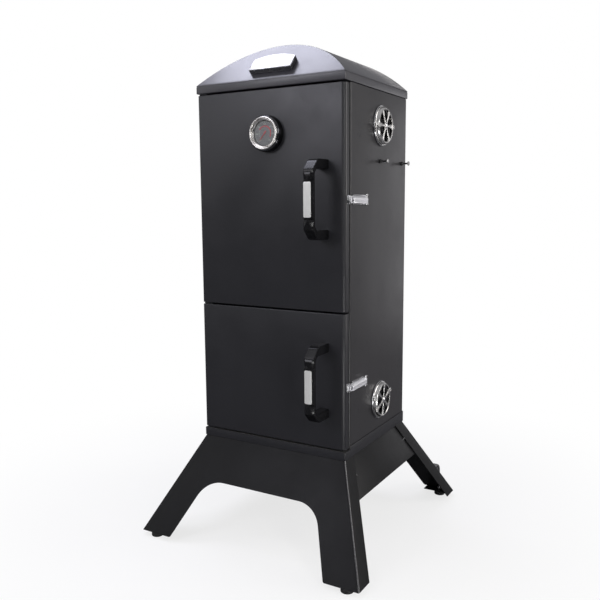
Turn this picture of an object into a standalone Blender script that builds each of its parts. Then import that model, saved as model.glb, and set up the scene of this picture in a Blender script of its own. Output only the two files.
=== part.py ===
"""Vertical cabinet smoker: a two-door charcoal cabinet on a splayed sheet-metal base.

Units are metres, +Z is up, the doors face -Y and +X is to the viewer's right.
The origin is on the floor, under the middle of the whole footprint. The sizes
below are measured from the middle of the cabinet's own plan, and one empty carries
the assembly back by ORIGIN_Y, because the transport wheels stand out at the rear.
"""

import math

import bmesh
import bpy
from mathutils import Matrix, Vector

# ---------------------------------------------------------------- shared dimensions
ORIGIN_Y = -0.0248        # from the cabinet's middle to the footprint's middle
HALF_W = 0.203            # half the cabinet's width
REAR_Y = 0.1774           # rear face of the cabinet
FRONT_Y = -REAR_Y         # front face of the doors
SHEET = 0.0015            # cabinet and door sheet
LINER_T = 0.0012          # sheet of the cabinet and door liners
GAP = 0.0003              # running clearance between neighbours

LOWER_DOOR_Z = (0.2675, 0.5907)
UPPER_DOOR_Z = (0.5947, 1.1074)
GAUGE_Z = 1.0055
UPPER_LATCH_Z, LOWER_LATCH_Z = 0.8510, 0.4165
DAMPER_Y = 0.0180
UPPER_DAMPER_Z, LOWER_DAMPER_Z = 1.0283, 0.3453

SIDES = (("left", -1), ("right", 1))

# ---------------------------------------------------------------- clean start
for old in list(bpy.data.objects):
    bpy.data.objects.remove(old, do_unlink=True)

parts = bpy.data.collections.new("cabinet_smoker")
cutters = bpy.data.collections.new("cutters")
bpy.context.scene.collection.children.link(parts)
bpy.context.scene.collection.children.link(cutters)


# ---------------------------------------------------------------- materials
def finish(name, colour, roughness, metallic):
    made = bpy.data.materials.new(name)
    made.use_nodes = True
    shader = made.node_tree.nodes["Principled BSDF"]
    shader.inputs["Base Color"].default_value = (*colour, 1.0)
    shader.inputs["Roughness"].default_value = roughness
    shader.inputs["Metallic"].default_value = metallic
    made.diffuse_color = (*colour, 1.0)
    return made


PAINT = finish("charcoal_paint", colour=(0.035, 0.035, 0.039), roughness=0.42, metallic=0.2)
ROOF_PAINT = finish("roof_paint", colour=(0.060, 0.060, 0.068), roughness=0.36, metallic=0.3)
LEG_PAINT = finish("leg_paint", colour=(0.022, 0.022, 0.024), roughness=0.45, metallic=0.2)
STEEL = finish("liner_steel", colour=(0.30, 0.30, 0.31), roughness=0.45, metallic=1.0)
CHROME = finish("chrome", colour=(0.75, 0.75, 0.77), roughness=0.12, metallic=1.0)
PLATE = finish("brushed_plate", colour=(0.62, 0.62, 0.60), roughness=0.35, metallic=1.0)
GRIP = finish("grip_plastic", colour=(0.012, 0.012, 0.013), roughness=0.25, metallic=0.0)
RUBBER = finish("black_rubber", colour=(0.015, 0.015, 0.015), roughness=0.80, metallic=0.0)
FIBRE = finish("gasket_fibre", colour=(0.05, 0.05, 0.05), roughness=0.95, metallic=0.0)
GREY = finish("grey_plastic", colour=(0.22, 0.22, 0.23), roughness=0.50, metallic=0.0)
DIAL = finish("dial_face", colour=(0.06, 0.06, 0.07), roughness=0.50, metallic=0.0)
RED = finish("needle_red", colour=(0.55, 0.03, 0.03), roughness=0.40, metallic=0.0)
GLASS = finish("gauge_glass", colour=(0.80, 0.85, 0.85), roughness=0.05, metallic=0.0)
ENAMEL = finish("black_enamel", colour=(0.020, 0.020, 0.022), roughness=0.30, metallic=0.0)

# ---------------------------------------------------------------- frames
XZ = Matrix.Rotation(math.pi / 2, 4, "X")       # outline (x, z), local +Z towards -Y
YZ = Matrix.Rotation(math.pi / 2, 4, "Z") @ XZ  # outline (y, z), local +Z towards +X

# Turns a round piece's own Z axis onto the axis named.
AXES = {
    "X": Matrix.Rotation(math.pi / 2, 4, "Y"),
    "Y": XZ,
    "Z": Matrix.Identity(4),
}


def at(x=0.0, y=0.0, z=0.0):
    return Matrix.Translation((x, y, z))


# ---------------------------------------------------------------- modelling helpers
def place(obj, material):
    """Link a part with its finish, or a hidden helper when it has none."""
    if material is not None:
        parts.objects.link(obj)
        obj.data.materials.append(material)
    else:
        cutters.objects.link(obj)
        obj.hide_render = True
        obj.display_type = "WIRE"
    return obj


def bevel(obj, width, segments=2, angle=40):
    modifier = obj.modifiers.new("Bevel", "BEVEL")
    modifier.width = width
    modifier.segments = segments
    modifier.limit_method = "ANGLE"
    modifier.angle_limit = math.radians(angle)


def boolean(obj, name, operation, others):
    for other in others:
        modifier = obj.modifiers.new(name, "BOOLEAN")
        modifier.operation = operation
        modifier.solver = "EXACT"
        modifier.object = other


def cut(obj, *others):
    boolean(obj, "Cut", "DIFFERENCE", others)


def join_solids(obj, *others):
    boolean(obj, "Join", "UNION", others)


def primitive(name, centre, material, create, **settings):
    """A piece made by one bmesh create operator."""
    mesh = bpy.data.meshes.new(name)
    edit = bmesh.new()
    create(edit, **settings)
    edit.to_mesh(mesh)
    edit.free()
    obj = bpy.data.objects.new(name, mesh)
    obj.location = centre
    return place(obj, material)


def box(name, low, high, material=None, edge=0.0, segments=2):
    centre = (Vector(low) + Vector(high)) / 2
    size = Vector(high) - Vector(low)
    obj = primitive(name, centre, material, bmesh.ops.create_cube,
                    size=1.0, matrix=Matrix.Diagonal((*size, 1.0)))
    if edge:
        bevel(obj, edge, segments)
    return obj


def cylinder(name, radius, length, centre, axis, material=None, segments=24):
    return primitive(name, centre, material, bmesh.ops.create_cone,
                     cap_ends=True, segments=segments, radius1=radius, radius2=radius,
                     depth=length, matrix=AXES[axis])


def turned(name, profile, centre, turn, material, steps, closed=False):
    """A profile of (radius, height) points swept round its own Z axis."""
    mesh = bpy.data.meshes.new(name)
    points = [(radius, 0.0, height) for radius, height in profile]
    edges = [(i, i + 1) for i in range(len(points) - 1)]
    if closed:
        edges.append((len(points) - 1, 0))
    mesh.from_pydata(points, edges, [])
    obj = bpy.data.objects.new(name, mesh)
    obj.matrix_world = Matrix.Translation(centre) @ turn
    place(obj, material)
    modifier = obj.modifiers.new("Screw", "SCREW")
    modifier.axis = "Z"
    modifier.steps = steps
    modifier.render_steps = steps
    modifier.use_merge_vertices = True
    modifier.merge_threshold = 0.00005
    return obj


def fillet(points, radii, closed=True, steps=4):
    """A 2D outline with its corners rounded to the radii given."""
    made = []
    count = len(points)
    for i, (point, radius) in enumerate(zip(points, radii)):
        here = Vector(point)
        if radius <= 0 or (not closed and i in (0, count - 1)):
            made.append((here.x, here.y))
            continue
        to_last = (Vector(points[i - 1]) - here).normalized()
        to_next = (Vector(points[(i + 1) % count]) - here).normalized()
        half_angle = to_last.angle(to_next) / 2
        run = radius / math.tan(half_angle)
        centre = here + (to_last + to_next).normalized() * (radius / math.sin(half_angle))
        start = here + to_last * run - centre
        # angle_signed counts clockwise, Matrix.Rotation anticlockwise.
        sweep = start.angle_signed(here + to_next * run - centre)
        for k in range(steps + 1):
            spot = centre + Matrix.Rotation(-sweep * k / steps, 2) @ start
            made.append((spot.x, spot.y))
    return made


def rectangle(x0, x1, y0, y1, radius=0.0, steps=3):
    corners = [(x0, y0), (x1, y0), (x1, y1), (x0, y1)]
    return fillet(corners, [radius] * 4, steps=steps)


def circle(radius, count):
    return [(radius * math.cos(2 * math.pi * i / count),
             radius * math.sin(2 * math.pi * i / count)) for i in range(count)]


def flat(name, outlines, thickness, frame, material=None):
    """A flat piece cut from plate: closed outlines, extruded both ways."""
    curve = bpy.data.curves.new(name, "CURVE")
    curve.dimensions = "2D"
    curve.fill_mode = "BOTH"
    curve.extrude = thickness / 2
    for outline in outlines:
        spline = curve.splines.new("POLY")
        spline.points.add(len(outline) - 1)
        for point, (x, y) in zip(spline.points, outline):
            point.co = (x, y, 0.0, 1.0)
        spline.use_cyclic_u = True
    obj = bpy.data.objects.new(name, curve)
    obj.matrix_world = frame
    return place(obj, material)


def to_mesh(obj, one_face_caps=False):
    """The same flat piece as a mesh with welded caps, so it can be cut and beveled."""
    bpy.context.view_layer.update()
    graph = bpy.context.evaluated_depsgraph_get()
    mesh = bpy.data.meshes.new_from_object(obj.evaluated_get(graph))
    edit = bmesh.new()
    edit.from_mesh(mesh)
    bmesh.ops.remove_doubles(edit, verts=edit.verts, dist=0.00001)
    if one_face_caps:
        bmesh.ops.dissolve_limit(edit, angle_limit=0.01, verts=edit.verts, edges=edit.edges)
    bmesh.ops.recalc_face_normals(edit, faces=edit.faces)
    edit.to_mesh(mesh)
    edit.free()
    name, world, material = obj.name, obj.matrix_world.copy(), obj.active_material
    bpy.data.objects.remove(obj, do_unlink=True)
    made = bpy.data.objects.new(name, mesh)
    made.matrix_world = world
    return place(made, material)


def sheet(name, points, faces, thickness, material, edge=0.0, segments=2, angle=40):
    """Folded sheet metal: an open surface, its bends, then its thickness behind it."""
    mesh = bpy.data.meshes.new(name)
    mesh.from_pydata(points, [], faces)
    obj = place(bpy.data.objects.new(name, mesh), material)
    if edge:
        bevel(obj, edge, segments, angle)
    modifier = obj.modifiers.new("Solidify", "SOLIDIFY")
    modifier.thickness = thickness
    modifier.offset = -1.0
    modifier.use_even_offset = True
    return obj


def raised(plan, heights):
    """One row of points per height, each following the plan."""
    return [(x, y, z) for z in heights for x, y in plan]


def wall_faces(count):
    """Quads between a lower and an upper open row, facing left of travel."""
    return [(i, i + count, i + 1 + count, i + 1) for i in range(count - 1)]


def ring_faces(first, second, count):
    """Quads between two closed rows of points that start at the indices given."""
    return [(first + i, second + i, second + (i + 1) % count, first + (i + 1) % count)
            for i in range(count)]


# ---------------------------------------------------------------- cabinet
SHELL_FRONT = -0.1507
SHELL_LIP = 0.186         # half the gap between the shell's folded front edges
SHELL_Z = (0.2637, 1.1095)
PORT_R = 0.040            # holes behind the dampers

LINER_HALF = 0.1880
LINER_Y = (-0.1480, 0.1620)
LINER_Z = (0.2660, 1.1000)

FRAME_Y = (-0.1525, -0.1510)
FRAME_HALF, FRAME_Z, FRAME_CORNER = 0.1985, (0.2640, 1.1105), 0.003
OPENING_HALF, OPENING_CORNER = 0.1845, 0.006
LOWER_OPENING = (0.2860, 0.5720)
UPPER_OPENING = (0.6130, 1.0890)

FLOOR_HALF, FLOOR_Y, FLOOR_Z = 0.2020, (-0.1758, 0.1762), 0.2618

ports = [cylinder(f"{which}_port_cutter", PORT_R, 0.06, (0.195, DAMPER_Y, z), "X")
         for which, z in (("upper", UPPER_DAMPER_Z), ("lower", LOWER_DAMPER_Z))]

shell_plan = fillet(
    [(-SHELL_LIP, SHELL_FRONT), (-HALF_W, SHELL_FRONT), (-HALF_W, REAR_Y),
     (HALF_W, REAR_Y), (HALF_W, SHELL_FRONT), (SHELL_LIP, SHELL_FRONT)],
    [0, 0.004, 0.0025, 0.0025, 0.004, 0], closed=False)
cabinet_shell = sheet("cabinet_shell", raised(shell_plan, SHELL_Z),
                      wall_faces(len(shell_plan)), SHEET, PAINT)
cut(cabinet_shell, *ports)

# Inner liner: folded sides and back with a welded ceiling.
liner_plan = [(-LINER_HALF, LINER_Y[0]), (-LINER_HALF, LINER_Y[1]),
              (LINER_HALF, LINER_Y[1]), (LINER_HALF, LINER_Y[0])]
inner_liner = sheet("inner_liner", raised(liner_plan, LINER_Z),
                    wall_faces(4) + [(7, 6, 5, 4)], LINER_T, STEEL)
cut(inner_liner, *ports)

flat("front_frame",
     [rectangle(-FRAME_HALF, FRAME_HALF, *FRAME_Z, FRAME_CORNER),
      rectangle(-OPENING_HALF, OPENING_HALF, *LOWER_OPENING, OPENING_CORNER),
      rectangle(-OPENING_HALF, OPENING_HALF, *UPPER_OPENING, OPENING_CORNER)],
     FRAME_Y[1] - FRAME_Y[0], at(y=sum(FRAME_Y) / 2) @ XZ, PAINT)

box("floor_plate", (-FLOOR_HALF, FLOOR_Y[0], FLOOR_Z),
    (FLOOR_HALF, FLOOR_Y[1], FLOOR_Z + SHEET), STEEL)

# ---------------------------------------------------------------- base band
BAND_HALF = 0.2050        # just proud of the cabinet
BAND_FRONT, BAND_REAR = -0.1790, 0.1795
BAND_BOTTOM, BAND_LOW_TOP, BAND_TOP = 0.2440, 0.2635, 0.2720
BAND_STEP_Y = (-0.1520, -0.1510)      # where the top edge steps up, behind the door

# A folded ring, lower in front so that the door clears it.
band_points = [
    (-BAND_HALF, BAND_FRONT, BAND_BOTTOM), (BAND_HALF, BAND_FRONT, BAND_BOTTOM),
    (BAND_HALF, BAND_REAR, BAND_BOTTOM), (-BAND_HALF, BAND_REAR, BAND_BOTTOM),
    (-BAND_HALF, BAND_FRONT, BAND_LOW_TOP), (BAND_HALF, BAND_FRONT, BAND_LOW_TOP),
    (BAND_HALF, BAND_REAR, BAND_TOP), (-BAND_HALF, BAND_REAR, BAND_TOP),
    (BAND_HALF, BAND_STEP_Y[0], BAND_LOW_TOP), (BAND_HALF, BAND_STEP_Y[1], BAND_TOP),
    (-BAND_HALF, BAND_STEP_Y[0], BAND_LOW_TOP), (-BAND_HALF, BAND_STEP_Y[1], BAND_TOP)]
sheet("base_band", band_points,
      [(0, 1, 5, 4), (1, 2, 6, 9, 8, 5), (2, 3, 7, 6), (3, 0, 4, 10, 11, 7)],
      SHEET, LEG_PAINT, edge=0.003)

# ---------------------------------------------------------------- roof
ROOF_HALF = 0.2050
ROOF_FRONT, ROOF_REAR = -0.1805, 0.1805
ROOF_BOTTOM, ROOF_CREASE = 1.1110, 1.1300
ROOF_R, ROOF_CENTRE = 0.2843, 0.9329  # barrel vault
ROOF_CREST = ROOF_CENTRE + ROOF_R
CREST_FRONT, CREST_REAR = -0.1054, 0.1245
ROOF_STEPS = 20
LIP_HALF, LIP_FRONT, LIP_REAR = 0.184, -0.1490, 0.1580    # inner edge of the turned-in lip

BADGE_X, BADGE_UP = 0.0050, 0.0450    # middle, and distance up the slope from the crease
BADGE_HALF, BADGE_BOTTOM = 0.0577, -0.0240
BADGE_SHOULDER, BADGE_ARCH = 0.0080, 0.0165
BADGE_T, BADGE_OUT = 0.0116, 0.0062   # thickness, and mid-plane above the slope


def roof_y(z, edge, crest):
    """Y at height z on an end slope that leans from its edge to the crest."""
    return edge + (crest - edge) * (z - ROOF_CREASE) / (ROOF_CREST - ROOF_CREASE)


def roof_cap():
    span = math.asin(ROOF_HALF / ROOF_R)
    arc = []
    for i in range(ROOF_STEPS + 1):
        angle = -span + 2 * span * i / ROOF_STEPS
        arc.append((ROOF_R * math.sin(angle), ROOF_CENTRE + ROOF_R * math.cos(angle)))
    # The ends meet the upright sides exactly at the crease.
    arc[0] = (-ROOF_HALF, ROOF_CREASE)
    arc[-1] = (ROOF_HALF, ROOF_CREASE)

    count = len(arc)
    points = [(x, roof_y(z, ROOF_FRONT, CREST_FRONT), z) for x, z in arc]
    points += [(x, roof_y(z, ROOF_REAR, CREST_REAR), z) for x, z in arc]
    rim = 2 * count
    lip = rim + 4
    for half, front, rear in ((ROOF_HALF, ROOF_FRONT, ROOF_REAR),
                              (LIP_HALF, LIP_FRONT, LIP_REAR)):
        points += [(-half, front, ROOF_BOTTOM), (half, front, ROOF_BOTTOM),
                   (half, rear, ROOF_BOTTOM), (-half, rear, ROOF_BOTTOM)]

    faces = [(i, i + 1, count + i + 1, count + i) for i in range(count - 1)]
    faces.append(tuple(range(count - 1, -1, -1)))
    faces.append(tuple(range(count, 2 * count)))
    faces += [(rim, rim + 1, count - 1, 0), (rim + 1, rim + 2, 2 * count - 1, count - 1),
              (rim + 2, rim + 3, count, 2 * count - 1), (rim + 3, rim, 0, count)]
    faces += ring_faces(rim, lip, 4)
    sheet("roof_cap", points, faces, SHEET, ROOF_PAINT)


def badge_plate():
    """A thick plate on the front slope, with a low arch along its top edge."""
    slope = math.atan2(CREST_FRONT - ROOF_FRONT, ROOF_CREST - ROOF_CREASE)
    outline = [(-BADGE_HALF, BADGE_BOTTOM), (BADGE_HALF, BADGE_BOTTOM)]
    outline += [(BADGE_HALF - 2 * BADGE_HALF * i / 10,
                 BADGE_SHOULDER + BADGE_ARCH * (1 - ((i - 5) / 5) ** 2)) for i in range(11)]
    up_slope = Vector((0, math.sin(slope), math.cos(slope)))
    outward = Vector((0, -math.cos(slope), math.sin(slope)))
    centre = (Vector((BADGE_X, ROOF_FRONT, ROOF_CREASE)) + up_slope * BADGE_UP
              + outward * BADGE_OUT)
    frame = Matrix.Translation(centre) @ Matrix.Rotation(-slope, 4, "X") @ XZ
    plate = to_mesh(flat("badge_plate", [outline], BADGE_T, frame, PLATE))
    bevel(plate, 0.0012, angle=50)


roof_cap()
badge_plate()

# ---------------------------------------------------------------- base legs
LEG_TOP, LEG_FOOT = 0.2437, 0.0138
LEG_T = 0.0020
SPLAY_X, SPLAY_Y = 0.4575, 0.6090     # outward run of the legs per metre of drop
LEAN = math.hypot(1.0, SPLAY_Y)       # slant length of a leg's face per metre of drop
LEG_W = 0.0892            # width of a leg's front face at the foot
ARCH_Z = 0.1476           # underside of the panel between two legs
ARCH_R = 0.070
FLANGE_TOP, FLANGE_FOOT = 0.0493, 0.0529
FOOT_PLATE_INSET = 0.012
FOOT_PLATE_Y, FOOT_PLATE_Z = (0.2810, 0.3152), (0.0140, 0.0160)

APRON_T = 0.0015
APRON_Z = 0.1540          # lower edge
APRON_REACH = (0.143, 0.197)          # half lengths of the upper and lower edges
HEM_W, HEM_REACH = 0.012, 0.190

GLIDE_XY = (0.2720, 0.3020)
# (radius, height)
GLIDE_PROFILE = [
    (0.0, 0.0134), (0.0100, 0.0134), (0.0110, 0.0110), (0.0142, 0.0085),
    (0.0150, 0.0060), (0.0150, 0.0015), (0.0138, 0.0), (0.0, 0.0)]


def leg_x(z):
    """Outer side edge of the right legs at height z."""
    return HALF_W + SPLAY_X * (LEG_TOP - z)


def leg_y(z):
    """Outer face of the rear panel at height z."""
    return REAR_Y + SPLAY_Y * (LEG_TOP - z)


def leg_panel(name, side):
    """Front (side -1) or rear (side +1) panel: two legs and the arch between."""
    foot_outer = leg_x(LEG_FOOT)
    foot_inner = foot_outer - LEG_W
    knee = leg_x(ARCH_Z) - LEG_W
    foot_slant = (LEG_TOP - LEG_FOOT) * LEAN
    arch_slant = (LEG_TOP - ARCH_Z) * LEAN
    right_half = fillet(
        [(HALF_W, 0.0), (foot_outer, foot_slant), (foot_inner, foot_slant),
         (knee, arch_slant), (0.0, arch_slant)],
        [0, 0, 0.006, ARCH_R, 0], closed=False, steps=6)
    # The middle point only guides the knee's fillet.
    right_half = right_half[:-1]
    outline = right_half + [(-x, slant) for x, slant in reversed(right_half)]

    points = []
    for x, slant in outline:
        z = LEG_TOP - slant / LEAN
        points.append((x, side * leg_y(z), z))
    count = len(points)
    faces = [tuple(range(count))]
    for top, foot in ((0, 1), (count - 1, count - 2)):
        # Side flange, folded back along the slanted outer edge.
        for corner, width in ((top, FLANGE_TOP), (foot, FLANGE_FOOT)):
            x, y, z = points[corner]
            points.append((x, y - side * width, z))
        faces.append((top, len(points) - 2, len(points) - 1, foot))
    panel = sheet(name, points, faces, LEG_T, LEG_PAINT, edge=0.004, segments=3, angle=35)

    # Face the sheet outward, so that its thickness goes inward.
    edit = bmesh.new()
    edit.from_mesh(panel.data)
    bmesh.ops.recalc_face_normals(edit, faces=edit.faces)
    edit.faces.ensure_lookup_table()
    if edit.faces[0].normal.y * side < 0:
        bmesh.ops.reverse_faces(edit, faces=edit.faces)
    edit.to_mesh(panel.data)
    edit.free()

    # Foot plates, welded in across the bottom of each leg to carry the glides.
    plates = []
    for end in (-1, 1):
        x0, x1 = sorted((end * (foot_inner + FOOT_PLATE_INSET),
                         end * (foot_outer - FOOT_PLATE_INSET)))
        y0, y1 = sorted(side * y for y in FOOT_PLATE_Y)
        plates.append(box(f"{name}_foot_plate_{end + 1}_helper",
                          (x0, y0, FOOT_PLATE_Z[0]), (x1, y1, FOOT_PLATE_Z[1])))
    join_solids(panel, *plates)


def apron(name, side):
    """Side panel between a front and a rear leg, hemmed inward along its lower edge."""
    inset = (LEG_T + GAP) * math.hypot(1.0, SPLAY_X)
    top_x = leg_x(LEG_TOP) - inset
    low_x = leg_x(APRON_Z) - inset
    points = []
    for x, reach, z in ((top_x, APRON_REACH[0], LEG_TOP), (low_x, APRON_REACH[1], APRON_Z),
                        (low_x - HEM_W, HEM_REACH, APRON_Z)):
        points += [(side * x, -reach, z), (side * x, reach, z)]
    faces = [(0, 1, 3, 2), (2, 3, 5, 4)]
    if side > 0:
        faces = [tuple(reversed(face)) for face in faces]
    sheet(name, points, faces, APRON_T, LEG_PAINT, edge=0.002)


leg_panel("front_leg_panel", -1)
leg_panel("rear_leg_panel", 1)
for side_name, side in SIDES:
    apron(f"{side_name}_apron", side)
    for end_name, end in (("front", -1), ("rear", 1)):
        turned(f"glide_{end_name}_{side_name}", GLIDE_PROFILE,
               (side * GLIDE_XY[0], end * GLIDE_XY[1], 0.0), AXES["Z"], RUBBER, 20)

# ---------------------------------------------------------------- transport wheels
WHEEL_X, WHEEL_Y, WHEEL_Z, WHEEL_R = 0.2420, 0.3380, 0.0430, 0.0290
BRACKET_HALF = 0.0135
BRACKET_FOOT_Z = (0.0680, 0.0300)     # where the bracket meets the leg
BRACKET_NOSE_Y, BRACKET_NOSE_HALF = 0.0080, 0.0070        # beyond and about the axle
BRACKET_OFF_LEG = 0.0006
AXLE_R, AXLE_LENGTH = 0.0030, 0.0330
# (radius, distance along the axle)
WHEEL_PROFILE = [
    (0.0250, 0.0090), (0.0285, 0.0070), (WHEEL_R, 0.0040), (WHEEL_R, -0.0040),
    (0.0285, -0.0070), (0.0250, -0.0090), (0.0230, -0.0050), (0.0080, -0.0050),
    (0.0070, -0.0100), (0.0034, -0.0100), (0.0034, 0.0100), (0.0070, 0.0100),
    (0.0080, 0.0050), (0.0230, 0.0050)]


def transport_wheel(name, side):
    centre = (side * WHEEL_X, WHEEL_Y, WHEEL_Z)
    points = []
    for x in (centre[0] - BRACKET_HALF, centre[0] + BRACKET_HALF):
        points += [(x, WHEEL_Y + BRACKET_NOSE_Y, WHEEL_Z + BRACKET_NOSE_HALF),
                   (x, WHEEL_Y + BRACKET_NOSE_Y, WHEEL_Z - BRACKET_NOSE_HALF)]
        points += [(x, leg_y(z) + BRACKET_OFF_LEG, z) for z in BRACKET_FOOT_Z]
    bracket = sheet(f"wheel_bracket_{name}", points,
                    [(0, 1, 3, 2), (2, 3, 7, 6), (6, 7, 5, 4)], LEG_T, LEG_PAINT)
    axle = cylinder(f"axle_{name}_helper", AXLE_R, AXLE_LENGTH, centre, "X", segments=16)
    join_solids(bracket, axle)
    turned(f"rear_wheel_{name}", WHEEL_PROFILE, centre, AXES["X"], GREY, 28, closed=True)


for side_name, side in SIDES:
    transport_wheel(side_name, side)

# ---------------------------------------------------------------- hinges
PIVOT = (-0.1930, -0.1680)            # door hinge line
PIN_R, PIN_HOLE = 0.0030, 0.0034
BRACKET_PLAN = (-0.2010, -0.1760, -0.1755, -0.1529, 0.004)    # x, x, y, y, corner radius
BRACKET_T = 0.0020
MIDDLE_HINGE_Z = (LOWER_DOOR_Z[1] + UPPER_DOOR_Z[0]) / 2
# name, cutter's name, bracket z, pin z, pin length, hole z, hole length
HINGES = (
    ("top", "top", 1.1092, 1.1015, 0.0170, UPPER_DOOR_Z[1], 0.030),
    ("middle", "mid", MIDDLE_HINGE_Z, MIDDLE_HINGE_Z, 0.0340, MIDDLE_HINGE_Z, 0.040),
    ("bottom", "low", 0.2650, 0.2726, 0.0170, LOWER_DOOR_Z[0], 0.030))

pin_holes = {}
for name, cutter_name, bracket_z, pin_z, pin_length, hole_z, hole_length in HINGES:
    pin_holes[name] = cylinder(f"{cutter_name}_pin_cutter", PIN_HOLE, hole_length,
                               (*PIVOT, hole_z), "Z", segments=16)
    bracket_hole = [(PIVOT[0] + x, PIVOT[1] + y) for x, y in circle(PIN_HOLE, 16)]
    flat(f"hinge_bracket_{name}", [rectangle(*BRACKET_PLAN), bracket_hole], BRACKET_T,
         at(z=bracket_z), PAINT)
    cylinder(f"hinge_pin_{name}", PIN_R, pin_length, (*PIVOT, pin_z), "Z", CHROME, 16)

# ---------------------------------------------------------------- doors
DOOR_BACK = -0.1585       # rear edge of a door skin's folded sides
DOOR_R = 0.010            # bend radius of the doors' free vertical edge
HINGE_R = 0.004           # tighter bend on the hinge side
STEM_HOLE_R = 0.0060

DOOR_LINER_Y = -0.1568    # rear face of a door liner's rim
EMBOSS_Y = -0.1510        # rear face of its raised middle
# Liner outlines from the rim inward: half width, inset from the door's ends, y
DOOR_LINER_RINGS = (
    (0.1995, 0.0035, DOOR_LINER_Y),
    (0.1800, 0.0215, DOOR_LINER_Y),
    (0.1720, 0.0290, EMBOSS_Y))

GASKET_Y = (-0.1565, -0.1531)
# Outer and inner outline: half width, inset from the door's ends, corner radius
GASKET_OUTLINES = ((0.1940, 0.0090, 0.006), (0.1860, 0.0170, 0.003))

HANDLE_X, HANDLE_W, HANDLE_OUT = 0.1485, 0.0260, 0.0750
UPPER_HANDLE_Z, LOWER_HANDLE_Z = 0.8512, 0.4315
HANDLE_HALF = 0.0895      # half the handle's height
ARM_T, BAR_T = 0.022, 0.014           # thickness of the handle's arms and upright bar
OUTER_SLANT = (0.027, 0.028)          # out and up run of the slant between arm and bar
INNER_SLANT = (0.009, 0.010)
OUTER_BEND, INNER_BEND = 0.020, 0.008

HANDLE_PLATE_HALF = (0.0092, 0.0388)  # x, z
HANDLE_PLATE_OUT = (0.0018, 0.0006)   # front and rear face, out from the bar

KEEPER_OUT, KEEPER_Y, KEEPER_HALF = 0.0055, (-0.1680, -0.1545), 0.0100


def handle_outline():
    """Side view (y from the door's face, height) of a D-shaped pull."""
    bar_y = -HANDLE_OUT
    arm_y = bar_y + OUTER_SLANT[0]
    bar_end = HANDLE_HALF - OUTER_SLANT[1]
    inner_bar_y = bar_y + BAR_T
    inner_arm_y = inner_bar_y + INNER_SLANT[0]
    inner_half = HANDLE_HALF - ARM_T
    inner_bar_end = inner_half - INNER_SLANT[1]
    points = [
        (0.0, -HANDLE_HALF), (arm_y, -HANDLE_HALF), (bar_y, -bar_end),
        (bar_y, bar_end), (arm_y, HANDLE_HALF), (0.0, HANDLE_HALF),
        (0.0, inner_half), (inner_arm_y, inner_half), (inner_bar_y, inner_bar_end),
        (inner_bar_y, -inner_bar_end), (inner_arm_y, -inner_half), (0.0, -inner_half)]
    return fillet(points, [0, *[OUTER_BEND] * 4, 0, 0, *[INNER_BEND] * 4, 0])


def door_skin(which, z_range, holes):
    outline = fillet([(-HALF_W, DOOR_BACK), (-HALF_W, FRONT_Y), (HALF_W, FRONT_Y),
                      (HALF_W, DOOR_BACK)], [0, HINGE_R, DOOR_R, 0], closed=False, steps=5)
    count = len(outline)
    faces = [tuple(reversed(face)) for face in wall_faces(count)]
    faces += [tuple(reversed(range(count))), tuple(range(count, 2 * count))]
    skin = sheet(f"{which}_door_skin", raised(outline, z_range), faces, SHEET, PAINT,
                 edge=0.0018)
    cut(skin, *holes)


def door_liner(which, z_range):
    """A flat rim, a sloping step and a raised middle."""
    points = []
    for half, inset, y in DOOR_LINER_RINGS:
        low, high = z_range[0] + inset, z_range[1] - inset
        points += [(-half, y, low), (half, y, low), (half, y, high), (-half, y, high)]
    faces = ring_faces(0, 4, 4) + ring_faces(4, 8, 4) + [(11, 10, 9, 8)]
    return sheet(f"{which}_door_liner", points, faces, LINER_T, STEEL)


def door_gasket(which, z_range):
    outlines = [rectangle(-half, half, z_range[0] + inset, z_range[1] - inset, radius)
                for half, inset, radius in GASKET_OUTLINES]
    flat(f"{which}_door_gasket", outlines, GASKET_Y[1] - GASKET_Y[0],
         at(y=sum(GASKET_Y) / 2) @ XZ, FIBRE)


def door_handle(which, z):
    pull = to_mesh(flat(f"{which}_door_handle", [handle_outline()], HANDLE_W,
                        at(HANDLE_X, FRONT_Y - GAP, z) @ YZ, GRIP), one_face_caps=True)
    bevel(pull, 0.0025)
    half_x, half_z = HANDLE_PLATE_HALF
    bar_front = FRONT_Y - HANDLE_OUT
    box(f"{which}_handle_plate",
        (HANDLE_X - half_x, bar_front - HANDLE_PLATE_OUT[0], z - half_z),
        (HANDLE_X + half_x, bar_front - HANDLE_PLATE_OUT[1], z + half_z),
        PLATE, edge=0.0004, segments=1)


def latch_keeper(which, z):
    """Block on the door's free edge, under the latch loop."""
    box(f"{which}_latch_keeper", (HALF_W + GAP, KEEPER_Y[0], z - KEEPER_HALF),
        (HALF_W + KEEPER_OUT, KEEPER_Y[1], z + KEEPER_HALF), CHROME, edge=0.0012)


def door(which, z_range, handle_z, latch_z, holes):
    """A whole door; returns its liner."""
    door_skin(which, z_range, holes)
    door_gasket(which, z_range)
    door_handle(which, handle_z)
    latch_keeper(which, latch_z)
    return door_liner(which, z_range)


stem_hole = cylinder("stem_cutter", STEM_HOLE_R, 0.060, (0.0, -0.165, GAUGE_Z), "Y",
                     segments=16)
upper_liner = door("upper", UPPER_DOOR_Z, UPPER_HANDLE_Z, UPPER_LATCH_Z,
                   (pin_holes["top"], pin_holes["middle"], stem_hole))
cut(upper_liner, stem_hole)
door("lower", LOWER_DOOR_Z, LOWER_HANDLE_Z, LOWER_LATCH_Z,
     (pin_holes["middle"], pin_holes["bottom"]))

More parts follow.
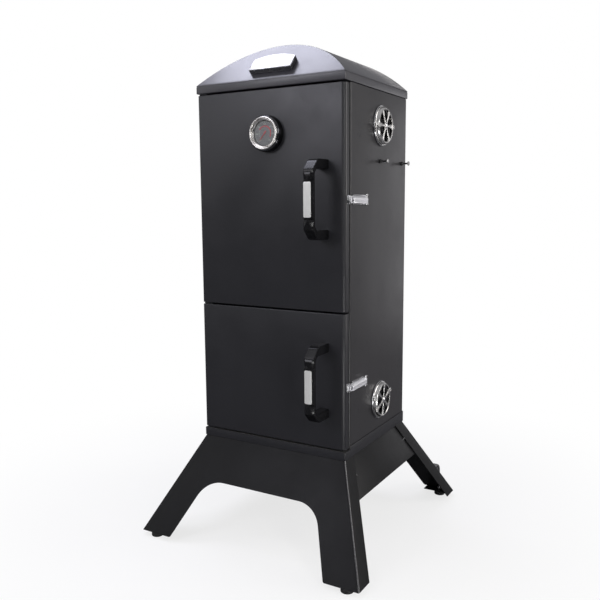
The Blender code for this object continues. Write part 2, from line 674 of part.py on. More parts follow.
# ---------------------------------------------------------------- thermometer
# (radius, distance out from the door's face); the stem runs inward
CASE_PROFILE = [
    (0.0, 0.0110), (0.0288, 0.0110), (0.0288, 0.0172), (0.0345, 0.0212), (0.0362, 0.0218),
    (0.0378, 0.0208), (0.0382, 0.0180), (0.0400, 0.0150), (0.0432, 0.0040),
    (0.0448, 0.0030), (0.0448, 0.0003), (0.0045, 0.0003), (0.0045, -0.0780),
    (0.0025, -0.0830), (0.0, -0.0830)]
DISC_R, DISC_T = 0.0284, 0.0010       # dial and lens
DIAL_OUT, NEEDLE_OUT, LENS_OUT = 0.0119, 0.0142, 0.0164
NEEDLE_T = 0.0008
NEEDLE_TURN = math.radians(-140)
# (x, z) with the needle upright about its pivot
NEEDLE_POINTS = [(-0.0022, -0.0065), (0.0022, -0.0065), (0.0030, 0.0), (0.0006, 0.0210),
                 (-0.0006, 0.0210), (-0.0030, 0.0)]
NEEDLE_RADII = [0.001, 0.001, 0.002, 0, 0, 0.002]

turned("thermometer_case", CASE_PROFILE, (0.0, FRONT_Y, GAUGE_Z), AXES["Y"], CHROME, 36)
for name, out, material in (("thermometer_dial", DIAL_OUT, DIAL),
                            ("thermometer_lens", LENS_OUT, GLASS)):
    cylinder(name, DISC_R, DISC_T, (0.0, FRONT_Y - out, GAUGE_Z), "Y", material, 36)

needle_pivot = bpy.data.objects.new("needle_pivot", None)
needle_pivot.location = (0.0, FRONT_Y - NEEDLE_OUT, GAUGE_Z)
needle_pivot.rotation_euler = (0.0, NEEDLE_TURN, 0.0)
parts.objects.link(needle_pivot)
needle = flat("thermometer_needle", [fillet(NEEDLE_POINTS, NEEDLE_RADII, steps=2)],
              NEEDLE_T, XZ, RED)
needle.parent = needle_pivot

# ---------------------------------------------------------------- latches
LATCH_X, LATCH_Y = 0.2100, -0.0800    # latch pivot
LATCH_BASE_Y, LATCH_BASE_T, LATCH_BASE_HALF = (-0.1400, -0.0700), 0.0018, 0.0120
LUG_OFFSET, LUG_HALF_T, LUG_HALF_Y = 0.0105, 0.0010, 0.0060
LATCH_ROD_R, LATCH_BORE_R = 0.0018, 0.0022
LEVER_Y, LEVER_DEPTH, LEVER_W = (-0.1520, -0.0752), 0.0075, 0.0170
LEVER_IN = 0.0040         # lever's inner face, in from the pivot
LOOP_X = LATCH_X + 0.0010
LOOP_WIRE_R, LOOP_OFFSET = 0.0015, 0.0065
LOOP_ARM_Y, LOOP_ARM_LENGTH = -0.1570, 0.0170
LOOP_BAR_Y, LOOP_BAR_LENGTH = -0.1650, 0.0160


def latch_base(which, z):
    """Plate on the cabinet side with two lugs and the pivot rod."""
    base = box(f"{which}_latch_base", (HALF_W + GAP, LATCH_BASE_Y[0], z - LATCH_BASE_HALF),
               (HALF_W + LATCH_BASE_T, LATCH_BASE_Y[1], z + LATCH_BASE_HALF), CHROME)
    lugs = []
    for k, lug_z in enumerate((z - LUG_OFFSET, z + LUG_OFFSET)):
        lugs.append(box(f"{which}_lug_{k}_helper",
                        (HALF_W + 0.0008, LATCH_Y - LUG_HALF_Y, lug_z - LUG_HALF_T),
                        (LATCH_X + 0.0035, LATCH_Y + LUG_HALF_Y, lug_z + LUG_HALF_T)))
    rod = cylinder(f"{which}_pivot_helper", LATCH_ROD_R, 0.0240, (LATCH_X, LATCH_Y, z), "Z",
                   segments=12)
    join_solids(base, *lugs, rod)


def latch_lever(which, z):
    """A rounded bar with a wire loop that reaches over the keeper.

    Its rear end is round about the pivot, so that it clears the base as it swings.
    """
    front, rear = LEVER_Y
    outline = fillet([(0.0, front), (0.0, rear), (LEVER_DEPTH, rear), (LEVER_DEPTH, front)],
                     [0.001, 0.0037, 0.0037, 0.002], steps=3)
    lever = to_mesh(flat(f"{which}_latch_lever", [outline], LEVER_W,
                         at(LATCH_X - LEVER_IN, 0.0, z), CHROME))
    cut(lever, cylinder(f"{which}_lever_bore", LATCH_BORE_R, 0.040, (LATCH_X, LATCH_Y, z),
                        "Z", segments=12))
    loop = [cylinder(f"{which}_loop_arm_{k}_helper", LOOP_WIRE_R, LOOP_ARM_LENGTH,
                     (LOOP_X, LOOP_ARM_Y, arm_z), "Y", segments=10)
            for k, arm_z in enumerate((z - LOOP_OFFSET, z + LOOP_OFFSET))]
    loop.append(cylinder(f"{which}_loop_bar_helper", LOOP_WIRE_R, LOOP_BAR_LENGTH,
                         (LOOP_X, LOOP_BAR_Y, z), "Z", segments=10))
    join_solids(lever, *loop)


for which, z in (("upper", UPPER_LATCH_Z), ("lower", LOWER_LATCH_Z)):
    latch_base(which, z)
    latch_lever(which, z)

# ---------------------------------------------------------------- dampers
DAMPER_R, DAMPER_BASE_T = 0.0485, 0.0015
DAMPER_RISE = 0.0135      # front of a damper disc above the cabinet side
DAMPER_WALL = 0.0030
LOWER_DAMPER_TURN = math.radians(22)
STUD_R, STUD_LENGTH, STUD_X = 0.0034, 0.0140, HALF_W + 0.0080
CAP_R, CAP_T, CAP_X = 0.0065, 0.0022, HALF_W + DAMPER_RISE + 0.0014
TAB_HALF_T, TAB_HALF_W, TAB_REACH = 0.0014, 0.0045, (0.0412, 0.0550)
TAB_X = HALF_W + DAMPER_RISE - 0.0016
# Openings: inner and outer radius, half angles in degrees at each
BASE_OPENING = (0.0130, 0.0360, 9, 14)
DISC_OPENING = (0.0120, 0.0385, 10, 16)
# A dished disc, (radius, height): a flat spoked middle and a skirt sloping to the seat.
DISC_PROFILE = [
    (0.0040, DAMPER_RISE), (0.0405, DAMPER_RISE), (0.0428, DAMPER_RISE - 0.0013),
    (0.0462, 0.0045), (0.0462, 0.0028), (0.0436, 0.0028),
    (0.0408, DAMPER_RISE - DAMPER_WALL), (0.0040, DAMPER_RISE - DAMPER_WALL)]


def wedges(inner, outer, inner_degrees, outer_degrees, steps=4):
    """Six wedge outlines evenly spaced round the centre."""
    half_in, half_out = math.radians(inner_degrees), math.radians(outer_degrees)
    made = []
    for number in range(6):
        middle = math.pi / 6 + number * math.pi / 3
        outline = []
        for k in range(steps + 1):
            angle = middle - half_out + 2 * half_out * k / steps
            outline.append((outer * math.cos(angle), outer * math.sin(angle)))
        for angle in (middle + half_in, middle - half_in):
            outline.append((inner * math.cos(angle), inner * math.sin(angle)))
        made.append(outline)
    return made


def damper_base(which, z):
    """Seat on the cabinet side, with the stud and cap that hold the disc."""
    base = to_mesh(flat(f"{which}_damper_base", [circle(DAMPER_R, 40)] + wedges(*BASE_OPENING),
                        DAMPER_BASE_T, at(HALF_W + GAP + DAMPER_BASE_T / 2, DAMPER_Y, z) @ YZ,
                        CHROME))
    stud = cylinder(f"{which}_stud_helper", STUD_R, STUD_LENGTH, (STUD_X, DAMPER_Y, z), "X",
                    segments=16)
    cap = cylinder(f"{which}_cap_helper", CAP_R, CAP_T, (CAP_X, DAMPER_Y, z), "X",
                   segments=16)
    join_solids(base, stud, cap)


def damper_disc(which, z, turn):
    tilt = Matrix.Rotation(turn, 4, "X")
    disc = turned(f"{which}_damper_disc", DISC_PROFILE, (HALF_W, DAMPER_Y, z),
                  tilt @ AXES["X"], CHROME, 48, closed=True)
    tabs = []
    for k, side in enumerate((-1, 1)):
        low, high = sorted(side * reach for reach in TAB_REACH)
        tab = box(f"{which}_tab_{k}_helper", (-TAB_HALF_T, low, -TAB_HALF_W),
                  (TAB_HALF_T, high, TAB_HALF_W))
        tab.matrix_world = at(TAB_X, DAMPER_Y, z) @ tilt @ at(y=(low + high) / 2)
        tabs.append(tab)
    join_solids(disc, *tabs)
    cut(disc, to_mesh(flat(f"{which}_damper_openings", wedges(*DISC_OPENING), 0.0200,
                           at(HALF_W + DAMPER_RISE, DAMPER_Y, z) @ tilt @ YZ)))


for which, z, turn in (("upper", UPPER_DAMPER_Z, 0.0),
                       ("lower", LOWER_DAMPER_Z, LOWER_DAMPER_TURN)):
    damper_base(which, z)
    damper_disc(which, z, turn)

# ---------------------------------------------------------------- tool hooks
HOOK_Z = 0.9436
# (radius, distance out from the cabinet side)
HOOK_PROFILE = [
    (0.0, 0.0215), (0.0042, 0.0215), (0.0052, 0.0205), (0.0052, 0.0185),
    (0.0040, 0.0178), (0.0024, 0.0172), (0.0024, 0.0035), (0.0048, 0.0028),
    (0.0048, 0.0003), (0.0, 0.0003)]

for name, y in (("tool_hook_front", 0.0128), ("tool_hook_rear", 0.1486)):
    turned(name, HOOK_PROFILE, (HALF_W, y, HOOK_Z), AXES["X"], LEG_PAINT, 16)

# ---------------------------------------------------------------- rails and racks
# Tops of the ledges: the basket's, the water pan's, then the four racks'.
LEDGES = (0.4550, 0.6450, 0.7050, 0.7900, 0.8750, 0.9600)
LEDGE_TIP, RAIL_INNER, RAIL_OUTER = 0.1730, 0.1850, 0.1865    # x of the right rail
LEDGE_T = 0.0020
RAIL_Z = (0.4400, 0.9750)
RAIL_LENGTH, RAIL_MIDDLE_Y = 0.2750, 0.0125

RACK_HALF, RACK_Y, RACK_CORNER, RACK_T = 0.1810, (-0.1280, 0.1500), 0.010, 0.0040
SLOT_COUNT, SLOTS_HALF, SLOT_Y = 12, 0.172, (-0.1225, 0.1445)
SLOT_PITCH = 2 * SLOTS_HALF / SLOT_COUNT
BAR_HALF = 0.0018         # half the bar between two slots


def rack_rail(name, side):
    outline = [(RAIL_OUTER, RAIL_Z[0]), (RAIL_OUTER, RAIL_Z[1]), (RAIL_INNER, RAIL_Z[1])]
    for z in reversed(LEDGES):
        outline += [(RAIL_INNER, z), (LEDGE_TIP, z), (LEDGE_TIP, z - LEDGE_T),
                    (RAIL_INNER, z - LEDGE_T)]
    outline.append((RAIL_INNER, RAIL_Z[0]))
    flat(name, [[(side * x, z) for x, z in outline]], RAIL_LENGTH,
         at(y=RAIL_MIDDLE_Y) @ XZ, STEEL)


def cooking_rack(number, z):
    outlines = [rectangle(-RACK_HALF, RACK_HALF, *RACK_Y, RACK_CORNER, steps=2)]
    for k in range(SLOT_COUNT):
        x = -SLOTS_HALF + SLOT_PITCH * (k + 0.5)
        outlines.append(rectangle(x - SLOT_PITCH / 2 + BAR_HALF,
                                  x + SLOT_PITCH / 2 - BAR_HALF, *SLOT_Y))
    flat(f"cooking_rack_{number}", outlines, RACK_T, at(z=z + GAP + RACK_T / 2), CHROME)


for side_name, side in SIDES:
    rack_rail(f"{side_name}_rack_rail", side)
for number, z in enumerate(LEDGES[2:], 1):
    cooking_rack(number, z)

# ---------------------------------------------------------------- pans
WATER_RIM = LEDGES[1] + GAP
BASKET_RIM = LEDGES[0] + GAP
ASH_RIM = 0.2975
# Outlines from the rim's outer edge to the bottom:
# half width, front y, rear y, z, corner radius
WATER_LEVELS = (
    (0.1810, -0.1280, 0.1480, WATER_RIM, 0.012),
    (0.1580, -0.1100, 0.1300, WATER_RIM, 0.020),
    (0.1440, -0.0960, 0.1160, WATER_RIM - 0.055, 0.020))
BASKET_LEVELS = (
    (0.1810, -0.1280, 0.1480, BASKET_RIM, 0.008),
    (0.1560, -0.1100, 0.1300, BASKET_RIM, 0.008),
    (0.1520, -0.1060, 0.1260, BASKET_RIM - 0.080, 0.008))
ASH_LEVELS = (
    (0.1700, -0.1280, 0.1450, ASH_RIM, 0.010),
    (0.1640, -0.1220, 0.1390, ASH_RIM, 0.010),
    (0.1600, -0.1180, 0.1350, 0.2637, 0.010))


def pan(name, levels, thickness, material):
    """A pressed pan: rounded rectangles from the rim down, closed at the bottom."""
    points, faces = [], []
    for half, front, rear, z, radius in levels:
        points += raised(rectangle(-half, half, front, rear, radius), [z])
    count = len(points) // len(levels)
    for level in range(len(levels) - 1):
        faces += ring_faces(level * count, (level + 1) * count, count)
    faces.append(tuple(reversed(range(len(points) - count, len(points)))))
    sheet(name, points, faces, thickness, material)


pan("water_pan", WATER_LEVELS, 0.0012, ENAMEL)
pan("charcoal_basket", BASKET_LEVELS, 0.0015, STEEL)
pan("ash_pan", ASH_LEVELS, 0.0012, ENAMEL)

# ---------------------------------------------------------------- shading
# Turned pieces have no faces before their modifier, so they are passed over.
for obj in parts.objects:
    if obj.type == "MESH" and obj.data.polygons and not obj.data.polygons[0].use_smooth:
        obj.data.shade_smooth()
        obj.data.set_sharp_from_angle(angle=math.radians(35))

# ---------------------------------------------------------------- footprint origin
assembly = bpy.data.objects.new("smoker_assembly", None)
for obj in [*parts.objects, *cutters.objects]:
    if obj.parent is None:
        obj.parent = assembly
parts.objects.link(assembly)
assembly.location.y = ORIGIN_Y
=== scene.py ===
"""Two-door cabinet smoker: fine meshes and finishes for the pieces of its CAD frame.

Metres, +Z up. The doors face -Y and hinge on the left (-X); latches, vents and tool hooks
are on the right (+X). Pieces are modelled in the cabinet's own plan, centred on x = 0 and
y = 0, and piece() moves them to their place in the frame.
"""
import math
from contextlib import contextmanager
from types import SimpleNamespace

import bmesh
import bpy
from mathutils import Matrix, Vector


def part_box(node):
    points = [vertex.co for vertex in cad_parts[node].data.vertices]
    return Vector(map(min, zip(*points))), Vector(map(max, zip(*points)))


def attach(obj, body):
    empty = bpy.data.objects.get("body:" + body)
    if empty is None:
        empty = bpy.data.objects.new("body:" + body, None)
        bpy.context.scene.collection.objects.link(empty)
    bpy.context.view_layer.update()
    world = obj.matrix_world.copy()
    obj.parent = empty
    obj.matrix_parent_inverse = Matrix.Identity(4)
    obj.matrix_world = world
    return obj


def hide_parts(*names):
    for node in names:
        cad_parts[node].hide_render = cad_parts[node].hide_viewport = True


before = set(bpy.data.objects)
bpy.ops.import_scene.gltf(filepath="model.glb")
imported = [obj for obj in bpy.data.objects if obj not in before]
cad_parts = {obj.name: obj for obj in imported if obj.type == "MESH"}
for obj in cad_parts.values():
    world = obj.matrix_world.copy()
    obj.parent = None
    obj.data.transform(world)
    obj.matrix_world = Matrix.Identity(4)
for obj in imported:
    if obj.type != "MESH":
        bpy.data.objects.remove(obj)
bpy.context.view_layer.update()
scene = bpy.context.scene

door_low, door_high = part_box("upper_door_skin")
shell_low, shell_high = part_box("cabinet_shell")
MIDDLE_Y = (door_low.y + shell_high.y) / 2  # the cabinet's middle in the frame
HALF_WIDE = door_high.x
FRONT_Y = door_low.y - MIDDLE_Y
REAR_Y = shell_high.y - MIDDLE_Y
SHEET = 0.0015
LEVELS = ("upper", "lower")
SIDES = (("left", -1), ("right", 1))


def cad(node):
    """A CAD piece's box in the cabinet's own plan: its six sides and its middle."""
    low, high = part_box(node)
    return SimpleNamespace(
        left=low.x, right=high.x, front=low.y - MIDDLE_Y, back=high.y - MIDDLE_Y,
        bottom=low.z, top=high.z, x=(low.x + high.x) / 2,
        y=(low.y + high.y) / 2 - MIDDLE_Y, z=(low.z + high.z) / 2)


def cad_middle(node):
    """The (y, z) middle of a CAD piece in the cabinet's own plan."""
    low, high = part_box(node)
    middle = (low + high) / 2
    return middle.y - MIDDLE_Y, middle.z


# ================================================================= materials
SURFACE_INPUTS = {"color": "Base Color", "rough": "Roughness", "metal": "Metallic",
                  "spec": "Specular IOR Level", "coat": "Coat Weight",
                  "coat_rough": "Coat Roughness", "sheen": "Sheen Weight"}


def scaled(colour, by):
    return tuple(min(1.0, part * by) for part in colour)


class Nodes:
    """The shader nodes of one material or world."""

    def __init__(self, owner):
        owner.use_nodes = True
        self.owner = owner
        self.tree = owner.node_tree
        self.bsdf = self.tree.nodes.get("Principled BSDF")
        self.places = self.add("TexCoord").outputs

    def feed(self, target, value):
        """Links a socket, or sets a number, a vector or an opaque colour."""
        if isinstance(value, bpy.types.NodeSocket):
            self.tree.links.new(value, target)
        elif target.type == "RGBA":
            target.default_value = (*value, 1.0)
        else:
            target.default_value = value

    def add(self, kind, inputs=None, **settings):
        node = self.tree.nodes.new("ShaderNode" + kind)
        for key, value in settings.items():
            setattr(node, key, value)
        for key, value in (inputs or {}).items():
            self.feed(node.inputs[key], value)
        return node

    def stretch(self, scale):
        return self.add("Mapping", {"Scale": scale, "Vector": self.places["Object"]}).outputs[0]

    def noise(self, scale, detail=3.0, rough=0.55, vector=None):
        return self.add("TexNoise", {
            "Scale": scale, "Detail": detail, "Roughness": rough,
            "Vector": vector or self.places["Object"]}).outputs["Fac"]

    def voronoi(self, scale, output="Distance"):
        return self.add("TexVoronoi", {
            "Scale": scale, "Vector": self.places["Object"]}).outputs[output]

    def span(self, value, to=(0.0, 1.0), over=(0.3, 0.7), **settings):
        """Maps a value from the range `over` to the range `to`."""
        return self.add("MapRange", {
            "From Min": over[0], "From Max": over[1], "To Min": to[0], "To Max": to[1],
            "Value": value}, **settings).outputs["Result"]

    def maths(self, operation, first, second):
        return self.add("Math", {0: first, 1: second}, operation=operation).outputs[0]

    def mix(self, factor, first, second):
        # Sockets 0, 6 and 7 are the factor and the two colours; output 2 is the colour.
        inputs = {0: factor, 6: first, 7: second}
        return self.add("Mix", inputs, data_type="RGBA").outputs[2]

    def shades(self, value, colour, between, **spans):
        """Mixes a darker and a lighter scaling of one colour."""
        low, high = between
        return self.mix(self.span(value, **spans), scaled(colour, low), scaled(colour, high))

    def bump(self, *layers):
        """Stacks (height, strength, distance) bumps and feeds the last to the surface."""
        last = None
        for height, strength, distance in layers:
            node = self.add("Bump", {"Strength": strength, "Distance": distance,
                                     "Height": height})
            if last is not None:
                self.feed(node.inputs["Normal"], last)
            last = node.outputs["Normal"]
        self.feed(self.bsdf.inputs["Normal"], last)

    def surface(self, **values):
        for key, value in values.items():
            self.feed(self.bsdf.inputs[SURFACE_INPUTS[key]], value)

    def blend_out(self, factor, first, second):
        """Sends a mix of two shaders to the material output."""
        mixed = self.add("MixShader", {0: factor, 1: first, 2: second}).outputs[0]
        self.feed(self.tree.nodes["Material Output"].inputs["Surface"], mixed)


def new_material(name):
    return Nodes(bpy.data.materials.new(name))


def powder_coat(name, colour, rough, spec=0.5, coat=0.0, grain=0.35, dust=0.0):
    """Baked powder coat: fine orange peel, faint cloudy gloss, a little dust."""
    mat = new_material(name)
    cloud = mat.noise(scale=5.0, detail=4.0)
    speck = mat.noise(scale=700.0, detail=2.0)
    tone = mat.shades(cloud, colour, between=(0.90, 1.10))
    tone = mat.mix(mat.span(speck, to=(0.0, 0.5), over=(0.35, 0.75)), tone, scaled(colour, 1.45))
    if dust:
        soft = mat.noise(scale=14.0, detail=5.0, rough=0.65)
        tone = mat.mix(mat.span(soft, to=(0.0, dust), over=(0.55, 0.80)), tone,
                       (0.16, 0.155, 0.15))
    smear = mat.noise(scale=11.0, detail=5.0, rough=0.6)
    gloss = mat.maths("ADD", mat.span(smear, to=(rough - 0.045, rough + 0.05)),
                      mat.span(speck, to=(-0.02, 0.03)))
    mat.surface(color=tone, rough=gloss, spec=spec, coat=coat, coat_rough=0.22)
    peel = mat.noise(scale=520.0, detail=2.0, rough=0.5)
    grit = mat.voronoi(scale=1300.0)
    mat.bump((peel, grain, 0.00035), (grit, grain * 0.5, 0.00012))
    return mat.owner


def plated(name, colour, rough, smudge=0.10, grain=0.08):
    """Metal plate with faint handling marks."""
    mat = new_material(name)
    haze = mat.noise(scale=60.0, detail=5.0, rough=0.65)
    fine = mat.noise(scale=900.0, detail=2.0)
    mat.surface(color=mat.shades(haze, colour, between=(0.92, 1.04)), metal=1.0,
                rough=mat.span(haze, to=(rough, rough + smudge), over=(0.42, 0.72)))
    mat.bump((fine, grain, 0.0001), (haze, grain * 0.6, 0.0004))
    return mat.owner


def brushed(name, colour, along, rough, grain, metal=1.0):
    """Brushed metal: fine scratches, long where the stretch `along` is small."""
    mat = new_material(name)
    lines = mat.noise(scale=1.0, detail=4.0, rough=0.7, vector=mat.stretch(along))
    haze = mat.noise(scale=18.0, detail=4.0)
    mat.surface(color=mat.shades(lines, colour, between=(0.88, 1.08)), metal=metal,
                rough=mat.maths("ADD", mat.span(lines, to=(rough - 0.05, rough + 0.07)),
                                mat.span(haze, to=(-0.03, 0.05))))
    mat.bump((lines, grain, 0.0002))
    return mat.owner


def aluminised(name, colour, heat):
    """Aluminised sheet with a light spangle and cloudy smoke tint."""
    mat = new_material(name)
    cells = mat.voronoi(scale=95.0, output="Color")
    split = mat.add("SeparateColor", {0: cells}).outputs
    lines = mat.noise(scale=1.0, rough=0.6, vector=mat.stretch((900, 900, 8)))
    cloud = mat.noise(scale=7.0, detail=5.0, rough=0.65)
    tone = mat.shades(split[0], colour, between=(0.92, 1.12), to=(0.0, 0.5), over=(0.0, 1.0))
    tone = mat.mix(mat.span(cloud, to=(0.0, heat), over=(0.45, 0.75)), tone,
                   (0.13, 0.095, 0.065))
    mat.surface(color=tone, metal=0.85, rough=mat.maths(
        "ADD", mat.span(split[1], to=(0.38, 0.48), over=(0.0, 1.0)),
        mat.span(cloud, to=(-0.04, 0.08))))
    mat.bump((lines, 0.12, 0.0002), (cloud, 0.15, 0.0008))
    return mat.owner


def moulded(name, colour, rough, grain, spec=0.5):
    """Moulded resin: small flow waves, fine grain, faint rubbed patches."""
    mat = new_material(name)
    flow = mat.noise(scale=45.0)
    fine = mat.noise(scale=1500.0, detail=2.0)
    rub = mat.noise(scale=30.0, detail=5.0, rough=0.7)
    mat.surface(color=mat.shades(flow, colour, between=(0.85, 1.2)), spec=spec, coat_rough=0.08,
                rough=mat.span(rub, to=(rough - 0.03, rough + 0.07), over=(0.4, 0.75)))
    mat.bump((flow, grain, 0.0006), (fine, grain, 0.0001))
    return mat.owner


def fibre(name):
    """Braided rope: crossing strands with a matt, slightly fuzzy surface."""
    mat = new_material(name)
    bands = {"wave_type": "BANDS", "bands_direction": "DIAGONAL"}
    one = mat.add("TexWave", {"Scale": 210.0, "Distortion": 1.2,
                              "Vector": mat.places["Object"]}, **bands)
    two = mat.add("TexWave", {"Scale": 210.0, "Vector": mat.stretch((-1, 1, 1))}, **bands)
    weave = mat.maths("MAXIMUM", one.outputs["Fac"], two.outputs["Fac"])
    fuzz = mat.noise(scale=2200.0, detail=2.0)
    tone = mat.mix(mat.span(weave, over=(0.2, 0.9)), (0.012, 0.012, 0.012),
                   (0.075, 0.072, 0.068))
    mat.surface(color=tone, rough=0.95, sheen=0.25, spec=0.2)
    mat.bump((weave, 0.8, 0.0006), (fuzz, 0.3, 0.0002))
    return mat.owner


def enamel(name):
    """Vitreous enamel with pale flecks under a glassy skin."""
    mat = new_material(name)
    fleck = mat.voronoi(scale=420.0)
    wave = mat.noise(scale=22.0)
    tone = mat.mix(mat.span(fleck, to=(1.0, 0.0), over=(0.03, 0.14)), (0.014, 0.014, 0.016),
                   (0.22, 0.22, 0.23))
    mat.surface(color=tone, rough=mat.span(wave, to=(0.10, 0.2)), coat=0.6, coat_rough=0.05)
    mat.bump((wave, 0.2, 0.0015))
    return mat.owner


def printed(name, colour, rough):
    """Flat ink or paint: slight density change and a fine tooth."""
    mat = new_material(name)
    dense = mat.noise(scale=1400.0, detail=2.0)
    mat.surface(color=mat.shades(dense, colour, between=(0.86, 1.08)),
                rough=mat.span(dense, to=(rough - 0.05, rough + 0.05)))
    mat.bump((dense, 0.1, 0.00005))
    return mat.owner


def pane(name):
    """Thin flat glass: it mirrors at a slant and lets light through."""
    mat = new_material(name)
    dirt = mat.noise(scale=240.0, detail=4.0)
    clear = mat.add("BsdfTransparent", {"Color": (0.95, 0.95, 0.95)})
    shine = mat.add("BsdfGlossy", {"Roughness": mat.span(dirt, to=(0.02, 0.08))})
    slant = mat.add("Fresnel", {"IOR": 1.45})
    mat.blend_out(slant.outputs[0], clear.outputs[0], shine.outputs[0])
    mat.tree.nodes.remove(mat.bsdf)
    return mat.owner


DOOR_PAINT = powder_coat("door_powder_coat", (0.018, 0.018, 0.021), rough=0.36, grain=0.28)
SIDE_PAINT = powder_coat("side_powder_coat", (0.026, 0.025, 0.027), rough=0.32, grain=0.24)
FRAME_PAINT = powder_coat("frame_powder_coat", (0.018, 0.018, 0.020), rough=0.50, spec=0.4)
ROOF_PAINT = powder_coat("roof_powder_coat", (0.036, 0.035, 0.042), rough=0.33, spec=0.75,
                         coat=0.30, grain=0.18)
LEG_PAINT = powder_coat("leg_powder_coat", (0.0065, 0.0065, 0.0072), rough=0.40, spec=0.16,
                        dust=0.015, grain=0.28)
# Lighter paint for the legs' bends: a painted highlight along each bend; its glossier coat also
# catches real highlights.
LEG_BEND_PAINTED_HIGHLIGHT = powder_coat("leg_bend_painted_highlight", (0.030, 0.030, 0.034), rough=0.26, spec=0.9,
                       grain=0.15)
CHROME = plated("bright_chrome", (0.74, 0.74, 0.75), rough=0.10)
# Thermometer case chrome with a very dark colour: a painted dark reflection of the room round
# it; the lamps still give it real highlights.
CASE_CHROME_PAINTED_DARK = plated("case_chrome_painted_dark", (0.10, 0.10, 0.106), rough=0.09, smudge=0.08)
RING = plated("ring_satin_chrome", (0.80, 0.78, 0.75), rough=0.24, smudge=0.12)
WHEEL = plated("vent_wheel_chrome", (0.78, 0.77, 0.75), rough=0.19, smudge=0.12)
LEVER = brushed("latch_lever_satin", (0.84, 0.84, 0.87), along=(30, 2400, 2400), rough=0.30,
                grain=0.15, metal=0.55)
SEAT = plated("vent_seat_dark", (0.06, 0.06, 0.065), rough=0.30)
WIRE = plated("rack_chrome", (0.60, 0.60, 0.60), rough=0.22, smudge=0.15, grain=0.15)
BADGE_FACE = brushed("badge_brushed", (0.80, 0.80, 0.78), along=(25, 25, 2600), rough=0.32,
                     grain=0.18)
BADGE_EDGE = plated("badge_edge_plate", (0.30, 0.30, 0.31), rough=0.22, smudge=0.12)
PLATE = brushed("plate_brushed", (0.86, 0.86, 0.83), along=(2400, 2400, 30), rough=0.38,
                grain=0.2, metal=0.35)
LINER = aluminised("aluminised_liner", (0.32, 0.315, 0.31), heat=0.4)
LINER_CLEAN = aluminised("aluminised_door_liner", (0.36, 0.36, 0.36), heat=0.25)
BASKET = aluminised("basket_steel", (0.25, 0.245, 0.24), heat=0.5)
GRIP = moulded("grip_resin", (0.007, 0.007, 0.008), rough=0.18, grain=0.06, spec=0.28)
RUBBER = moulded("glide_rubber", (0.014, 0.014, 0.014), rough=0.62, grain=0.25, spec=0.4)
GREY = moulded("wheel_resin", (0.14, 0.14, 0.145), rough=0.42, grain=0.2)
FIBRE = fibre("gasket_braid")
ENAMEL = enamel("pan_enamel")
DIAL = printed("dial_ground", (0.27, 0.27, 0.285), rough=0.42)
INK = printed("dial_ink_pale", (0.70, 0.80, 0.74), rough=0.5)
RED = printed("dial_ink_red", (0.85, 0.050, 0.085), rough=0.42)
NEEDLE = printed("needle_paint", (0.88, 0.045, 0.070), rough=0.32)
GLASS = pane("gauge_pane")
STEEL_PIN = brushed("pin_steel", (0.55, 0.55, 0.56), along=(60, 60, 2200), rough=0.3,
                    grain=0.15)
HOOK_PAINT = powder_coat("hook_powder_coat", (0.020, 0.020, 0.021), rough=0.38)
HOOK_HEAD = plated("hook_head_zinc", (0.45, 0.45, 0.45), rough=0.34, smudge=0.12)


# ================================================================= mesh tools
scratch = bpy.data.collections.new("scratch")
scene.collection.children.link(scratch)

FACING_FRONT = Matrix.Rotation(math.pi / 2, 4, "X")  # flat (x, y) to (x, z)
FACING_SIDE = Matrix.Rotation(math.pi / 2, 4, "Z") @ FACING_FRONT  # flat (x, y) to (y, z)
ALONG = {"X": Matrix.Rotation(math.pi / 2, 4, "Y"), "-X": Matrix.Rotation(-math.pi / 2, 4, "Y"),
         "Y": Matrix.Rotation(-math.pi / 2, 4, "X"), "-Y": Matrix.Rotation(math.pi / 2, 4, "X"),
         "Z": Matrix.Identity(4), "-Z": Matrix.Rotation(math.pi, 4, "X")}


def at(x=0.0, y=0.0, z=0.0):
    return Matrix.Translation((x, y, z))


def holder(data):
    obj = bpy.data.objects.new("holder", data)
    scratch.objects.link(obj)
    return obj


def solid(obj):
    """The object's evaluated shape as a plain mesh; the object is removed."""
    bpy.context.view_layer.update()
    graph = bpy.context.evaluated_depsgraph_get()
    mesh = bpy.data.meshes.new_from_object(obj.evaluated_get(graph))
    bpy.data.objects.remove(obj, do_unlink=True)
    return mesh


@contextmanager
def editing(mesh):
    work = bmesh.new()
    work.from_mesh(mesh)
    yield work
    work.to_mesh(mesh)
    work.free()


def built(work):
    """Turns a finished bmesh into a mesh."""
    mesh = bpy.data.meshes.new("part")
    work.to_mesh(mesh)
    work.free()
    return mesh


def tidy(mesh):
    """Welds doubles and drops degenerate edges and loose points."""
    with editing(mesh) as work:
        bmesh.ops.remove_doubles(work, verts=work.verts, dist=0.000004)
        bmesh.ops.dissolve_degenerate(work, edges=work.edges, dist=0.000002)
        loose = [vert for vert in work.verts if not vert.link_faces]
        bmesh.ops.delete(work, geom=loose, context="VERTS")
        bmesh.ops.recalc_face_normals(work, faces=work.faces)
    return mesh


def merged(*meshes):
    """Several meshes as one, keeping each one's material slots."""
    work = bmesh.new()
    materials = []
    for mesh in meshes:
        start = len(work.faces)
        work.from_mesh(mesh)
        work.faces.ensure_lookup_table()
        index = []
        for material in list(mesh.materials) or [None]:
            if material not in materials:
                materials.append(material)
            index.append(materials.index(material))
        for face in work.faces[start:]:
            face.material_index = index[min(face.material_index, len(index) - 1)]
    made = built(work)
    for material in materials:
        made.materials.append(material)
    return made


def paint(mesh, material):
    mesh.materials.clear()
    mesh.materials.append(material)
    for polygon in mesh.polygons:
        polygon.material_index = 0
    return mesh


